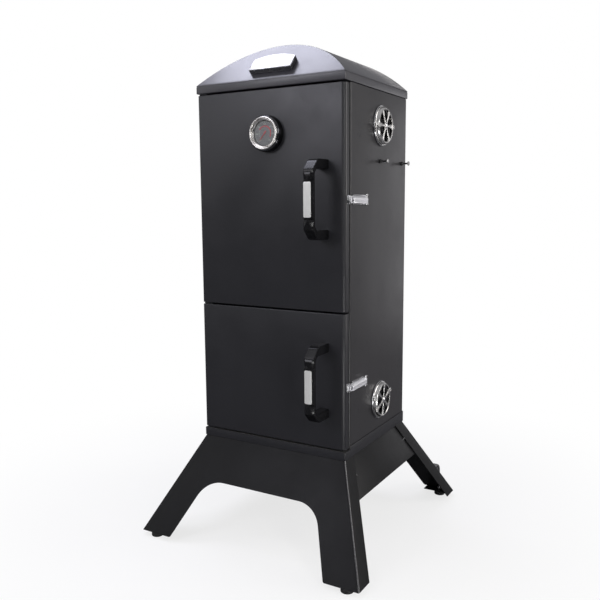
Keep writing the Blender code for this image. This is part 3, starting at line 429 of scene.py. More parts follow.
def piece(name, mesh, body, replaces=None, angle=32, clean=True):
    """Moves a mesh from the cabinet's own plan into the frame as one piece."""
    if clean:
        tidy(mesh)
    mesh.transform(at(y=MIDDLE_Y))
    mesh.name = name
    mesh.shade_smooth()
    mesh.set_sharp_from_angle(angle=math.radians(angle))
    obj = bpy.data.objects.new(name, mesh)
    scene.collection.objects.link(obj)
    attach(obj, body)
    if replaces:
        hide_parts(replaces)


def bevel(obj, width, segments, angle):
    modifier = obj.modifiers.new("Bevel", "BEVEL")
    modifier.width = width
    modifier.segments = segments
    modifier.limit_method = "ANGLE"
    modifier.angle_limit = math.radians(angle)


def cut(mesh, *cutters, operation="DIFFERENCE"):
    """A boolean of plain meshes."""
    obj = holder(mesh)
    tools = [holder(cutter) for cutter in cutters]
    for tool in tools:
        modifier = obj.modifiers.new("Boolean", "BOOLEAN")
        modifier.operation = operation
        modifier.solver = "EXACT"
        modifier.object = tool
    result = solid(obj)
    for tool in tools:
        bpy.data.objects.remove(tool, do_unlink=True)
    return result


def box(low, high, edge=0.0, segments=3):
    low, high = Vector(low), Vector(high)
    work = bmesh.new()
    bmesh.ops.create_cube(work, size=1.0, matrix=Matrix.Translation((low + high) / 2)
                          @ Matrix.Diagonal((*(high - low), 1.0)))
    if edge:
        bmesh.ops.bevel(work, geom=work.edges[:], offset=edge, segments=segments, profile=0.5,
                        affect="EDGES")
    return built(work)


def skinned(rings, closed=False):
    """Joins rings of points in order; a ring of one point is a pole."""
    work = bmesh.new()
    loops = [[work.verts.new(point) for point in ring] for ring in rings]
    for near, far in zip(loops, loops[1:] + (loops[:1] if closed else [])):
        steps = max(len(near), len(far))
        for k in range(steps):
            j = (k + 1) % steps
            corners = list(dict.fromkeys((near[k % len(near)], near[j % len(near)],
                                          far[j % len(far)], far[k % len(far)])))
            if len(corners) > 2:
                work.faces.new(corners)
    if not closed:
        for end in (loops[0], loops[-1]):
            if len(end) > 1:
                work.faces.new(end)
    bmesh.ops.recalc_face_normals(work, faces=work.faces)
    return built(work)


def polar(radius, angle):
    return (radius * math.cos(angle), radius * math.sin(angle))


def circle(radius, count):
    return [polar(radius, 2 * math.pi * k / count) for k in range(count)]


def lathe(profile, centre, along="Z", steps=48, closed=False):
    """A (radius, height) profile turned about an axis through centre."""
    rings = [[(0, 0, height)] if radius < 1e-7 else
             [(x, y, height) for x, y in circle(radius, steps)] for radius, height in profile]
    mesh = skinned(rings, closed)
    mesh.transform(Matrix.Translation(centre) @ ALONG[along])
    return mesh


def rod(start, end, radius, steps=12):
    start, end = Vector(start), Vector(end)
    work = bmesh.new()
    turn = (end - start).to_track_quat("Z", "Y").to_matrix().to_4x4()
    bmesh.ops.create_cone(work, cap_ends=True, segments=steps, radius1=radius, radius2=radius,
                          depth=(end - start).length,
                          matrix=Matrix.Translation((start + end) / 2) @ turn)
    return built(work)


def add_splines(curve, outlines, closed=True):
    for outline in outlines:
        spline = curve.splines.new("POLY")
        spline.points.add(len(outline) - 1)
        for point, place in zip(spline.points, outline):
            point.co = (*place, 1.0)
        spline.use_cyclic_u = closed


def wire(points, radius, closed=False):
    """A bent wire through points, with closed ends."""
    curve = bpy.data.curves.new("wire", "CURVE")
    curve.dimensions = "3D"
    curve.bevel_depth = radius
    curve.bevel_resolution = 4
    curve.use_fill_caps = True
    add_splines(curve, [points], closed)
    return tidy(solid(holder(curve)))


def plate(outlines, thickness, matrix, round_edge=0.0, steps=2):
    """A flat piece with holes; its edges are rounded by round_edge."""
    curve = bpy.data.curves.new("plate", "CURVE")
    curve.dimensions = "2D"
    curve.fill_mode = "BOTH"
    curve.extrude = thickness / 2 - round_edge
    curve.bevel_depth = round_edge
    curve.bevel_resolution = steps
    curve.offset = -round_edge
    add_splines(curve, [raised(outline, 0.0) for outline in outlines])
    mesh = tidy(solid(holder(curve)))
    mesh.transform(matrix)
    return mesh


def fillet(points, radii, closed=True, steps=6):
    """A flat outline with each corner rounded by its own radius."""
    made = []
    last = len(points) - 1
    for i, (point, radius) in enumerate(zip(points, radii)):
        here = Vector(point)
        if radius <= 0 or (not closed and i in (0, last)):
            made.append((here.x, here.y))
            continue
        to_last = (Vector(points[i - 1]) - here).normalized()
        to_next = (Vector(points[(i + 1) % len(points)]) - here).normalized()
        half = to_last.angle(to_next) / 2
        run = radius / math.tan(half)
        centre = here + (to_last + to_next).normalized() * (radius / math.sin(half))
        start = here + to_last * run - centre
        sweep = start.angle_signed(here + to_next * run - centre)
        for k in range(steps + 1):
            spot = centre + Matrix.Rotation(-sweep * k / steps, 2) @ start
            made.append((spot.x, spot.y))
    return made


def rectangle(x0, x1, y0, y1, radius=0.0, steps=6):
    return fillet([(x0, y0), (x1, y0), (x1, y1), (x0, y1)], [radius] * 4, True, steps)


def raised(plan, *heights):
    """A copy of the plan's points at each height."""
    return [(x, y, z) for z in heights for x, y in plan]


def wall_faces(count):
    """Walls between two copies of an open plan of count points."""
    return [(i, i + count, i + 1 + count, i + 1) for i in range(count - 1)]


def nested_faces(count, levels):
    """Walls between successive closed loops of count points, and a panel on the last."""
    last = count * (levels - 1)
    faces = [(a + i, a + count + i, a + count + (i + 1) % count, a + (i + 1) % count)
             for a in range(0, last, count) for i in range(count)]
    return faces + [tuple(reversed(range(last, last + count)))]


def sheet_mesh(points, faces):
    mesh = bpy.data.meshes.new("sheet")
    mesh.from_pydata([tuple(point) for point in points], [], faces)
    return mesh


def bent(mesh, thickness, edge=0.0, segments=4, angle=30, offset=-1.0, rim=0.0):
    """Rounded bends, then thickness, then a softened cut edge."""
    obj = holder(mesh)
    if edge:
        bevel(obj, edge, segments, angle)
    modifier = obj.modifiers.new("Solidify", "SOLIDIFY")
    modifier.thickness = thickness
    modifier.offset = offset
    modifier.use_even_offset = True
    if rim:
        bevel(obj, rim, 2, 60)
    return solid(obj)


def folded(points, faces, thickness, **bends):
    return bent(sheet_mesh(points, faces), thickness, **bends)


def rivet(centre, along, radius=0.0032, height=0.0011):
    """Domed rivet head standing on a surface at centre."""
    profile = [(0.0, height)]
    for k in range(1, 6):
        angle = math.pi / 2 * k / 5
        profile.append((radius * math.sin(angle), height * math.cos(angle) * 0.95 + 0.00005))
    profile += [(radius, -0.0003), (0.0, -0.0003)]
    return lathe(profile, centre, along, 20)


def screw_head(centre, along, radius, height):
    """Pan-head screw with a cross recess."""
    head = lathe([(0.0, height), (radius * 0.45, height * 0.97), (radius * 0.78, height * 0.82),
                  (radius * 0.95, height * 0.5), (radius, 0.0002), (radius, -0.0003),
                  (0.0, -0.0003)], (0, 0, 0), "Z", 28)
    for x, y in ((0.55, 0.11), (0.11, 0.55)):
        head = cut(head, box((-radius * x, -radius * y, height * 0.45),
                             (radius * x, radius * y, height * 2)))
    head.transform(Matrix.Translation(centre) @ ALONG[along])
    return head


def hex_nut(centre, along, flat, height, bore):
    """A nut; flat is the distance from its axis to each flat."""
    outer = [polar(flat / math.cos(math.pi / 6), math.pi / 3 * k) for k in range(6)]
    return plate([outer, circle(bore, 20)], height, Matrix.Translation(centre) @ ALONG[along],
                 0.0005, 1)


# ================================================================= cabinet sheet metal
LIP_X = 0.186  # the shell's front lips end here
SHELL_RIVET_X = 0.176
SHELL_RIVET_HEIGHTS = (0.300, 0.500, 0.700, 0.900, 1.080)
OPENING_X = 0.1845
OPENINGS = ((0.2860, 0.5720), (0.6130, 1.0890))  # bottom and top of each front opening
vents = {which: cad_middle(f"{which}_damper_base") for which in LEVELS}


def vent_ports(radius):
    """Cutters through the right wall, one at each vent."""
    return [rod((0.150, y, z), (0.230, y, z), radius, 64) for y, z in vents.values()]


def cabinet_shell():
    whole = cad("cabinet_shell")
    plan = fillet([(-LIP_X, whole.front), (-HALF_WIDE, whole.front), (-HALF_WIDE, REAR_Y),
                   (HALF_WIDE, REAR_Y), (HALF_WIDE, whole.front), (LIP_X, whole.front)],
                  [0, 0.004, 0.0025, 0.0025, 0.004, 0], closed=False, steps=10)
    shell = folded(raised(plan, whole.bottom, whole.top), wall_faces(len(plan)), SHEET)
    shell = paint(cut(shell, *vent_ports(0.0385)), SIDE_PAINT)
    rivets = [paint(rivet((x, REAR_Y, z), "Y"), SIDE_PAINT)
              for z in SHELL_RIVET_HEIGHTS for x in (-SHELL_RIVET_X, SHELL_RIVET_X)]
    piece("cabinet_shell_sheet", merged(shell, *rivets), "cabinet",
          "cabinet_shell")


def front_frame():
    whole = cad("front_frame")
    outlines = [rectangle(whole.left, whole.right, whole.bottom, whole.top, 0.003)]
    outlines += [rectangle(-OPENING_X, OPENING_X, low, high, 0.006, 8) for low, high in OPENINGS]
    mesh = plate(outlines, whole.back - whole.front, at(y=whole.y) @ FACING_FRONT, 0.0003, 1)
    piece("front_frame_plate", paint(mesh, FRAME_PAINT), "cabinet",
          "front_frame")


def base_band():
    """Band round the base, lower in front so that the door clears it."""
    whole = cad("base_band")
    x, front, back, top = whole.right, whole.front, whole.back, whole.top
    front_top = 0.2635
    step_low, step_high = -0.1520, -0.1510  # foot and head of the step in each side
    points = raised(rectangle(-x, x, front, back), whole.bottom) + [
        (-x, front, front_top), (x, front, front_top), (x, back, top), (-x, back, top),
        (x, step_low, front_top), (x, step_high, top),
        (-x, step_low, front_top), (-x, step_high, top)]
    faces = [(0, 1, 5, 4), (1, 2, 6, 9, 8, 5), (2, 3, 7, 6), (3, 0, 4, 10, 11, 7)]
    mesh = folded(points, faces, SHEET, edge=0.003, segments=5, rim=0.0003)
    piece("base_band_ring", paint(mesh, DOOR_PAINT), "cabinet", "base_band")


cabinet_shell()
front_frame()
base_band()

# ================================================================= roof
roof_box = cad("roof_cap")
ROOF_HALF, ROOF_FRONT, ROOF_BACK = roof_box.right, roof_box.front, roof_box.back
ROOF_FOOT, EAVES, CREST = roof_box.bottom, roof_box.bottom + 0.0190, roof_box.top
CREST_FRONT, CREST_BACK = -0.1054, 0.1245  # the ends lean in to these at the crest
ARC_STEPS = 56


def roof():
    """Arched cap with leaning ends, upright eaves and a rim turned in below."""
    radius = (ROOF_HALF ** 2 + (CREST - EAVES) ** 2) / (2 * (CREST - EAVES))
    span = math.asin(ROOF_HALF / radius)
    arc = []
    for i in range(ARC_STEPS + 1):
        angle = -span + 2 * span * i / ARC_STEPS
        arc.append((radius * math.sin(angle), CREST - radius + radius * math.cos(angle)))
    arc[0], arc[-1] = (-ROOF_HALF, EAVES), (ROOF_HALF, EAVES)

    points = [(x, edge + (crest - edge) * (z - EAVES) / (CREST - EAVES), z)
              for edge, crest in ((ROOF_FRONT, CREST_FRONT), (ROOF_BACK, CREST_BACK))
              for x, z in arc]
    count = len(arc)
    low = len(points)
    rim = low + 4
    points += raised(rectangle(-ROOF_HALF, ROOF_HALF, ROOF_FRONT, ROOF_BACK), ROOF_FOOT)
    points += raised(rectangle(-0.184, 0.184, -0.1490, 0.1580), ROOF_FOOT)
    faces = [(i, i + 1, count + i + 1, count + i) for i in range(count - 1)]
    faces += [tuple(range(count - 1, -1, -1)), tuple(range(count, 2 * count)),
              (low, low + 1, count - 1, 0), (low + 1, low + 2, 2 * count - 1, count - 1),
              (low + 2, low + 3, count, 2 * count - 1), (low + 3, low, 0, count)]
    faces += [(low + i, rim + i, rim + (i + 1) % 4, low + (i + 1) % 4) for i in range(4)]
    mesh = folded(points, faces, SHEET, edge=0.0014, angle=24)

    # An upright slit near the front of each eave, then a groove all round below the arch.
    seams = [box((s * ROOF_HALF - 0.0008, ROOF_FRONT + 0.0050, ROOF_FOOT - 0.002),
                 (s * ROOF_HALF + 0.0008, ROOF_FRONT + 0.0058, EAVES - 0.0006))
             for s in (-1, 1)]
    out, bite = 0.010, 0.0010
    grooves = (  # left, front, right, back
        (-ROOF_HALF - out, ROOF_FRONT - out, ROOF_HALF + out, ROOF_FRONT + bite),
        (-ROOF_HALF - out, ROOF_BACK - bite, ROOF_HALF + out, ROOF_BACK + out),
        (-ROOF_HALF - out, ROOF_FRONT + bite, -ROOF_HALF + bite, ROOF_BACK - bite),
        (ROOF_HALF - bite, ROOF_FRONT + bite, ROOF_HALF + out, ROOF_BACK - bite))
    seams += [box((left, front, EAVES - 0.0034), (right, back, EAVES - 0.0016))
              for left, front, right, back in grooves]
    for seam in seams:
        mesh = cut(mesh, seam)
    piece("roof_shell", paint(mesh, ROOF_PAINT), "cabinet", "roof_cap", angle=22)


def badge():
    """Plain plate with a crowned top, standing off the roof's leaning front."""
    half = 0.0577
    crown = [(half - 2 * half * i / 24, 0.0120 + 0.0120 * (1 - ((i - 12) / 12) ** 2))
             for i in range(25)]
    outline = fillet([(-half, -0.0240), (half, -0.0240)] + crown,
                     [0.002] * 3 + [0] * 23 + [0.002], True, 5)

    def shrunk(by_x, by_y):
        return [(x * by_x, y * by_y) for x, y in outline]

    slope = math.atan2(CREST_FRONT - ROOF_FRONT, CREST - EAVES)
    sin, cos = math.sin(slope), math.cos(slope)
    centre = Vector((0.0050, ROOF_FRONT, EAVES)) + Vector((0, sin, cos)) * 0.0450
    centre += Vector((0, -cos, sin)) * 0.0120
    plane = Matrix.Translation(centre) @ Matrix.Rotation(-slope, 4, "X") @ FACING_FRONT
    block = paint(plate([outline], 0.0116, plane @ at(z=-0.0058), 0.0010, 3), BADGE_EDGE)
    face = paint(plate([shrunk(0.975, 0.945)], 0.0005, plane @ at(z=-0.0001), 0.0001, 1),
                 BADGE_FACE)
    line = paint(plate([shrunk(0.935, 0.87), shrunk(0.928, 0.855)], 0.0003,
                       plane @ at(z=0.0001)), BADGE_FACE)
    piece("badge_plate_blank", merged(block, face, line), "cabinet",
          "badge_plate")


roof()
badge()

# ================================================================= base legs
leg_box = cad("front_leg_panel")
LEG_TOP = leg_box.top
LEG_DROP = LEG_TOP - leg_box.bottom
SPLAY_X, SPLAY_Y = 0.4575, 0.6090  # outward run per unit of drop
LEAN = math.hypot(1.0, SPLAY_Y)  # length down a front or rear panel per unit of drop
LEG_THICK, LEG_WIDE = 0.0020, 0.0892
ARCH_Z, ARCH_R = 0.1476, 0.070
FLANGE_TOP, FLANGE_FOOT = 0.0493, 0.0529
APRON_Z = 0.1540
BOLT_X, BOLT_Y = 0.272, 0.302
SIDE_INSET = (LEG_THICK + 0.0003) * math.hypot(1.0, SPLAY_X)


def leg_face_y(z):
    """How far the leaning panel face lies from the middle at a height."""
    return -FRONT_Y + SPLAY_Y * (LEG_TOP - z)


def leg_side_x(z):
    """Inner face of a splayed side at a height."""
    return HALF_WIDE + SPLAY_X * (LEG_TOP - z) - SIDE_INSET


def leg_panel(name, side):
    """Arched leaning panel with two legs, side flanges, foot tabs and bolts."""
    foot_out = HALF_WIDE + SPLAY_X * LEG_DROP
    foot_in = foot_out - LEG_WIDE
    knee = HALF_WIDE + SPLAY_X * (LEG_TOP - ARCH_Z) - LEG_WIDE
    foot_run, arch_run = LEG_DROP * LEAN, (LEG_TOP - ARCH_Z) * LEAN
    half = fillet([(HALF_WIDE, 0.0), (foot_out, foot_run), (foot_in, foot_run),
                   (knee, arch_run), (0.0, arch_run)],
                  [0, 0, 0.006, ARCH_R, 0], closed=False, steps=14)[:-1]
    points = []
    for x, run in half + [(-x, run) for x, run in reversed(half)]:
        z = LEG_TOP - run / LEAN
        points.append((x, side * leg_face_y(z), z))
    count = len(points)
    faces = [tuple(range(count))]
    for top, foot in ((0, 1), (count - 1, count - 2)):
        for i, width in ((top, FLANGE_TOP), (foot, FLANGE_FOOT)):
            x, y, z = points[i]
            points.append((x, y - side * width, z))
        faces.append((top, len(points) - 2, len(points) - 1, foot))
    sheet = sheet_mesh(points, faces)
    with editing(sheet) as work:
        bmesh.ops.recalc_face_normals(work, faces=work.faces)
        work.faces.ensure_lookup_table()
        if work.faces[0].normal.y * side < 0:
            bmesh.ops.reverse_faces(work, faces=work.faces)
    sheet = paint(bent(sheet, LEG_THICK, edge=0.004, segments=6, angle=35), LEG_PAINT)
    # Faces on the bend between the front and each flange take the lighter paint: a painted
    # highlight along the bend.
    sheet.materials.append(LEG_BEND_PAINTED_HIGHLIGHT)
    for face in sheet.polygons:
        if 0.35 < abs(face.normal.x) < 0.88 and abs(face.normal.y) > 0.3:
            face.material_index = 1

    made = [sheet]
    for end in (-1, 1):
        x0, x1 = sorted((end * (foot_in + 0.012), end * (foot_out - 0.012)))
        y0, y1 = sorted((side * 0.2810, side * 0.3152))
        tab = box((x0, y0, 0.0140), (x1, y1, 0.0160), 0.0004, 2)
        nut = hex_nut((end * BOLT_X, side * BOLT_Y, 0.0188), "Z", flat=0.0060, height=0.0052,
                      bore=0.0030)
        bolt = lathe([(0.0, 0.0262), (0.0022, 0.0262), (0.0030, 0.0252), (0.0030, 0.0120),
                      (0.0, 0.0120)], (end * BOLT_X, side * BOLT_Y, 0.0), "Z", 24)
        made += [paint(tab, LEG_PAINT), paint(nut, STEEL_PIN), paint(bolt, STEEL_PIN)]
    piece(f"{name}_leg_sheet", merged(*made), "cabinet", f"{name}_leg_panel")


def apron(name, side):
    """Side sheet between the legs, with a hem turned in along its foot."""
    top_x, foot_x = side * leg_side_x(LEG_TOP), side * leg_side_x(APRON_Z)
    hem_x = side * (leg_side_x(APRON_Z) - 0.012)
    points = [(x, s * reach, z) for x, reach, z in (
        (top_x, 0.143, LEG_TOP), (foot_x, 0.197, APRON_Z), (hem_x, 0.190, APRON_Z))
        for s in (-1, 1)]
    faces = [(0, 1, 3, 2), (2, 3, 5, 4)]
    if side > 0:
        faces = [tuple(reversed(face)) for face in faces]
    mesh = paint(folded(points, faces, LEG_THICK - 0.0005, edge=0.002, segments=5, rim=0.0003),
                 LEG_PAINT)
    nut_z = 0.200
    nut_x = side * (leg_side_x(nut_z) - 0.0016)
    nuts = [paint(hex_nut((nut_x, y, nut_z), "X" if side > 0 else "-X", flat=0.0050,
                          height=0.0034, bore=0.0026), HOOK_HEAD) for y in (-0.150, 0.150)]
    piece(f"{name}_apron_sheet", merged(mesh, *nuts), "cabinet", f"{name}_apron")


def glide(node):
    """Turned rubber foot."""
    foot = cad(node)
    top = foot.top
    profile = [
        (0.0, top), (0.0088, top), (0.0096, top - 0.0006), (0.0104, top - 0.0024),
        (0.0128, 0.0098), (0.0140, 0.0088), (0.0148, 0.0074), (0.0150, 0.0062),
        (0.01455, 0.0056), (0.01455, 0.0048), (0.0150, 0.0042), (0.01495, 0.0018),
        (0.0144, 0.0006), (0.0134, 0.0), (0.0, 0.0)]
    mesh = paint(lathe(profile, (foot.x, foot.y, 0.0)), RUBBER)
    piece(f"{node}_foot", mesh, "cabinet", node, angle=40)


leg_panel("front", -1)
leg_panel("rear", 1)
for name, side in SIDES:
    apron(name, side)
for end in ("front", "rear"):
    for name, side in SIDES:
        glide(f"glide_{end}_{name}")


# ================================================================= transport wheels
def transport_wheel(name, hub, radius):
    """Grooved tread, thin web with six windows, and a hub."""
    tread = [(0.0250, 0.0086), (0.0262, 0.0090), (0.0278, 0.0084), (0.0286, 0.0070),
             (radius, 0.0052)]
    for k in range(5):
        y = 0.0040 - k * 0.0020
        tread += [(radius, y + 0.0005), (radius - 0.0006, y + 0.0002),
                  (radius - 0.0006, y - 0.0002), (radius, y - 0.0005)]
    tread += [
        (radius, -0.0052), (0.0286, -0.0070), (0.0278, -0.0084), (0.0262, -0.0090),
        (0.0250, -0.0086), (0.0236, -0.0052), (0.0228, -0.0040), (0.0084, -0.0040),
        (0.0076, -0.0052), (0.0072, -0.0100), (0.0036, -0.0100), (0.0036, 0.0100),
        (0.0072, 0.0100), (0.0076, 0.0052), (0.0084, 0.0040), (0.0228, 0.0040),
        (0.0236, 0.0052)]
    wheel = lathe(tread, (0, 0, 0), "Z", 72, closed=True)
    window = [(0.0105, -0.22), (0.0210, -0.36), (0.0210, -0.18), (0.0210, 0),
              (0.0210, 0.18), (0.0210, 0.36), (0.0105, 0.22)]  # radius, angle
    wheel = cut(wheel, *[plate([[polar(reach, math.radians(60 * k + 30) + turn)
                                 for reach, turn in window]], 0.03, at()) for k in range(6)])
    wheel.transform(Matrix.Translation(hub) @ ALONG["X"])
    piece(f"{name}_transport_wheel", paint(wheel, GREY), f"{name}_wheel",
          f"rear_wheel_{name}")


def wheel_fork(name, hub):
    """Bracket from the rear leg panel to both sides of the wheel, and the axle."""
    x, y, z = hub
    points = [(x + dx, *place) for dx in (-0.0135, 0.0135) for place in (
        (y + 0.0080, z + 0.0070), (y + 0.0080, z - 0.0070),
        (leg_face_y(0.0680) + 0.0006, 0.0680), (leg_face_y(0.0300) + 0.0006, 0.0300))]
    fork = folded(points, [(0, 1, 3, 2), (2, 3, 7, 6), (6, 7, 5, 4)], 0.0020, edge=0.0018,
                  rim=0.0003)
    half = [(0.0, 0.0178), (0.0030, 0.0176), (0.0048, 0.0168), (0.0052, 0.0158),
            (0.0052, 0.0150), (0.0030, 0.0150)]
    # The outward end runs down to its shoulder; the other end has its own order.
    axle = half + [
        (0.0030, -0.0150), (0.0052, -0.0150), (0.0052, -0.0158), (0.0048, -0.0168),
        (0.0030, -0.0176), (0.0, -0.0178)]
    mesh = merged(paint(fork, LEG_PAINT), paint(lathe(axle, hub, "X", 28), STEEL_PIN))
    piece(f"{name}_wheel_fork", mesh, "cabinet", f"wheel_bracket_{name}")


for name, side in SIDES:
    whole = cad(f"rear_wheel_{name}")
    hub = (whole.x, whole.y, whole.z)
    transport_wheel(name, hub, (whole.top - whole.bottom) / 2)
    wheel_fork(name, hub)


# ================================================================= inner liner, rails, hinges
def recoat(node, material):
    """Gives a kept CAD piece a new material."""
    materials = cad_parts[node].data.materials
    materials.clear()
    materials.append(material)


def inner_liner():
    half, front, back = 0.1880, -0.1480, 0.1620
    thick = 0.0012
    plan = fillet([(-half, front), (-half, back), (half, back), (half, front)],
                  [0, 0.006, 0.006, 0], closed=False)
    count = len(plan)
    faces = wall_faces(count) + [tuple(range(2 * count - 1, count - 1, -1))]
    liner = cut(folded(raised(plan, 0.2660, 1.1000), faces, thick), *vent_ports(0.040))
    heads = [paint(rivet((s * (half - thick), y, z), "-X" if s > 0 else "X", 0.0028, 0.0009),
                   LINER)
             for s in (-1, 1) for y in (-0.135, 0.150) for z in (0.290, 0.420, 1.020, 1.085)]
    piece("inner_liner_sheet", merged(paint(liner, LINER), *heads), "cabinet",
          "inner_liner")


def hinge_pin(which):
    node = f"hinge_pin_{which}"
    pin = cad(node)
    radius = (pin.right - pin.left) / 2
    top, bottom = pin.top, pin.bottom
    mesh = lathe([(0.0, top), (radius * 0.55, top), (radius * 0.85, top - 0.0006),
                  (radius, top - 0.0016), (radius, bottom + 0.0016),
                  (radius * 0.85, bottom + 0.0006), (radius * 0.55, bottom), (0.0, bottom)],
                 (pin.x, pin.y, 0.0), "Z", 32)
    piece(f"{node}_turned", paint(mesh, STEEL_PIN), "cabinet", node)


inner_liner()
for node in ("floor_plate", "left_rack_rail", "right_rack_rail"):
    recoat(node, LINER)
for which in ("top", "middle", "bottom"):
    recoat(f"hinge_bracket_{which}", FRAME_PAINT)
    hinge_pin(which)

# ================================================================= doors
PIVOT = (-0.1930, -0.1680)  # hinge axis in plan
DOOR_BACK = -0.1585
DOOR_R, HINGE_R = 0.010, 0.004  # front corners on the latch and hinge sides
STEM_HOLE_R = 0.0060
PANEL_Y = -0.1510  # inner face of the door's back panel
handle_box = cad("upper_door_handle")
HANDLE_X = handle_box.x
HANDLE_HALF_WIDE = (handle_box.right - handle_box.left) / 2
HANDLE_OUT = FRONT_Y - handle_box.front
HANDLE_HALF_TALL = (handle_box.top - handle_box.bottom) / 2
STEM_Z = cad_middle("thermometer_dial")[1]


def door_sheet(which, bottom, top):
    """Outer tray, drilled for the hinge pins, with a round hem on the latch side."""
    plan = fillet([(-HALF_WIDE, DOOR_BACK), (-HALF_WIDE, FRONT_Y), (HALF_WIDE, FRONT_Y),
                   (HALF_WIDE, DOOR_BACK)], [0, HINGE_R, DOOR_R, 0], False, 12)
    count = len(plan)
    faces = [tuple(reversed(face)) for face in wall_faces(count)]
    faces += [tuple(reversed(range(count))), tuple(range(count, 2 * count))]
    skin = folded(raised(plan, bottom, top), faces, SHEET, edge=0.0018)
    skin = cut(skin, *[rod((*PIVOT, z - 0.02), (*PIVOT, z + 0.02), 0.0034, 32)
                       for z in (bottom, top)])
    if which == "upper":
        skin = cut(skin, rod((0, FRONT_Y - 0.02, STEM_Z), (0, FRONT_Y + 0.02, STEM_Z),
                             STEM_HOLE_R, 32))
    hem_x, hem_y = HALF_WIDE - 0.0011, DOOR_BACK - 0.0003
    hem = rod((hem_x, hem_y, bottom + 0.004), (hem_x, hem_y, top - 0.004), 0.0013, 16)
    piece(f"{which}_door_sheet", paint(merged(skin, hem), DOOR_PAINT), f"{which}_door",
          f"{which}_door_skin")


def door_panel(which, bottom, top, handle_z):
    """Back panel pressed inward in the middle, with the handle's two screws."""
    rings = ((0.1995, 0.0035, -0.1568, 0.003), (0.1800, 0.0215, -0.1568, 0.010),
             (0.1720, 0.0290, PANEL_Y, 0.014))  # half width, inset in height, y, corner
    points = []
    for half, inset, y, radius in rings:
        loop = rectangle(-half, half, bottom + inset, top - inset, radius, 5)
        points += [(x, y, z) for x, z in loop]
    faces = [tuple(reversed(face)) for face in nested_faces(len(loop), len(rings))]
    panel = folded(points, faces, 0.0012, edge=0.0012, segments=3, angle=20, offset=1.0)
    if which == "upper":
        panel = cut(panel, rod((0, -0.17, STEM_Z), (0, -0.14, STEM_Z), STEM_HOLE_R, 32))
    heads = [paint(screw_head((HANDLE_X, PANEL_Y + 0.0002, handle_z + dz), "Y", radius=0.0046,
                              height=0.0020), HOOK_HEAD) for dz in (-0.080, 0.080)]
    piece(f"{which}_door_inner_panel", merged(paint(panel, LINER_CLEAN), *heads),
          f"{which}_door", f"{which}_door_liner")


def rope_seal(which, bottom, top):
    """Braided seal: an oval cord round a rounded rectangle, with the strands' lumps."""
    half_x, inset, y = 0.1900, 0.0130, -0.15480
    half_wide, half_high = 0.0078 / 2, 0.0033 / 2
    around = 12
    path = rectangle(-half_x, half_x, bottom + inset, top - inset, 0.008, 10)
    fine = []
    for start, end in zip(path, path[1:] + path[:1]):
        start, end = Vector(start), Vector(end)
        parts = max(1, round((end - start).length / 0.0022))
        fine += [start.lerp(end, j / parts) for j in range(parts)]
    rings = []
    for k, point in enumerate(fine):
        ahead = (fine[(k + 1) % len(fine)] - fine[k - 1]).normalized()
        across = Vector((ahead.y, -ahead.x))
        ring = []
        for j in range(around):
            angle = 2 * math.pi * j / around
            lump = 1.0 + 0.055 * math.sin(3 * angle + k * 2.1)
            spot = point + across * (math.cos(angle) * half_wide * lump)
            ring.append((spot.x, y + math.sin(angle) * half_high * lump, spot.y))
        rings.append(ring)
    piece(f"{which}_door_rope_seal", paint(skinned(rings, closed=True), FIBRE),
          f"{which}_door", f"{which}_door_gasket", angle=60)


def side_outlines():
    """Matching outer and inner side outlines (out from the door, height) of the pull."""
    out, half = HANDLE_OUT, HANDLE_HALF_TALL
    outer = fillet([(0.0, -half), (-out + 0.027, -half), (-out, -half + 0.028),
                    (-out, half - 0.028), (-out + 0.027, half), (0.0, half)],
                   [0, 0.020, 0.020, 0.020, 0.020, 0], False, 10)
    inner = fillet([(0.0, -half + 0.022), (-out + 0.023, -half + 0.022),
                    (-out + 0.014, -half + 0.032), (-out + 0.014, half - 0.032),
                    (-out + 0.023, half - 0.022), (0.0, half - 0.022)],
                   [0, 0.008, 0.008, 0.008, 0.008, 0], False, 10)
    outer = [Vector(point) for point in outer]
    inner = [Vector(point) for point in inner]
    both = []
    for out0, out1, in0, in1 in zip(outer, outer[1:], inner, inner[1:]):
        longest = max((out1 - out0).length, (in1 - in0).length)
        parts = max(1, math.ceil(longest / 0.0035))
        both += [(out0.lerp(out1, j / parts), in0.lerp(in1, j / parts)) for j in range(parts)]
    return both + [(outer[-1], inner[-1])]


def pull_handle(which, handle_z):
    """Moulded D pull. The front is a flat pad for the plate, then narrows to a point and
    widens again into the arms, with slanted facets on both sides of each point."""
    wide, back = HANDLE_HALF_WIDE, 0.0036  # half width; radius of the inner edges
    rings = []
    for outer, inner in side_outlines():
        deep = (outer - inner).length
        height = abs(outer.y)
        if height < 0.0432:
            flat, drop = 0.0099, 0.0036
        else:
            widening = min(1.0, max(0.0, (height - 0.0448) / 0.0215))
            flat = 0.0006 + (0.0116 - 0.0006) * widening
            drop = 0.0074 + (0.0012 - 0.0074) * widening
        section = [(-flat, deep), (flat, deep), (wide - 0.0004, deep - drop),
                   (wide, deep - drop - 0.0006), (wide, back)]
        for k in range(1, 4):
            angle = math.pi / 2 * k / 4
            section.append((wide - back + back * math.cos(angle),
                            back - back * math.sin(angle)))
        section += [(wide - back, 0.0)]
        section += [(-x, depth) for x, depth in reversed(section[2:])]
        ring = []
        for x, depth in section:
            spot = inner + (outer - inner) * (depth / deep)
            ring.append((HANDLE_X + x, FRONT_Y - 0.0003 + spot.x, handle_z + spot.y))
        rings.append(ring)
    piece(f"{which}_pull_handle", paint(skinned(rings), GRIP), f"{which}_door",
          f"{which}_door_handle", angle=24)


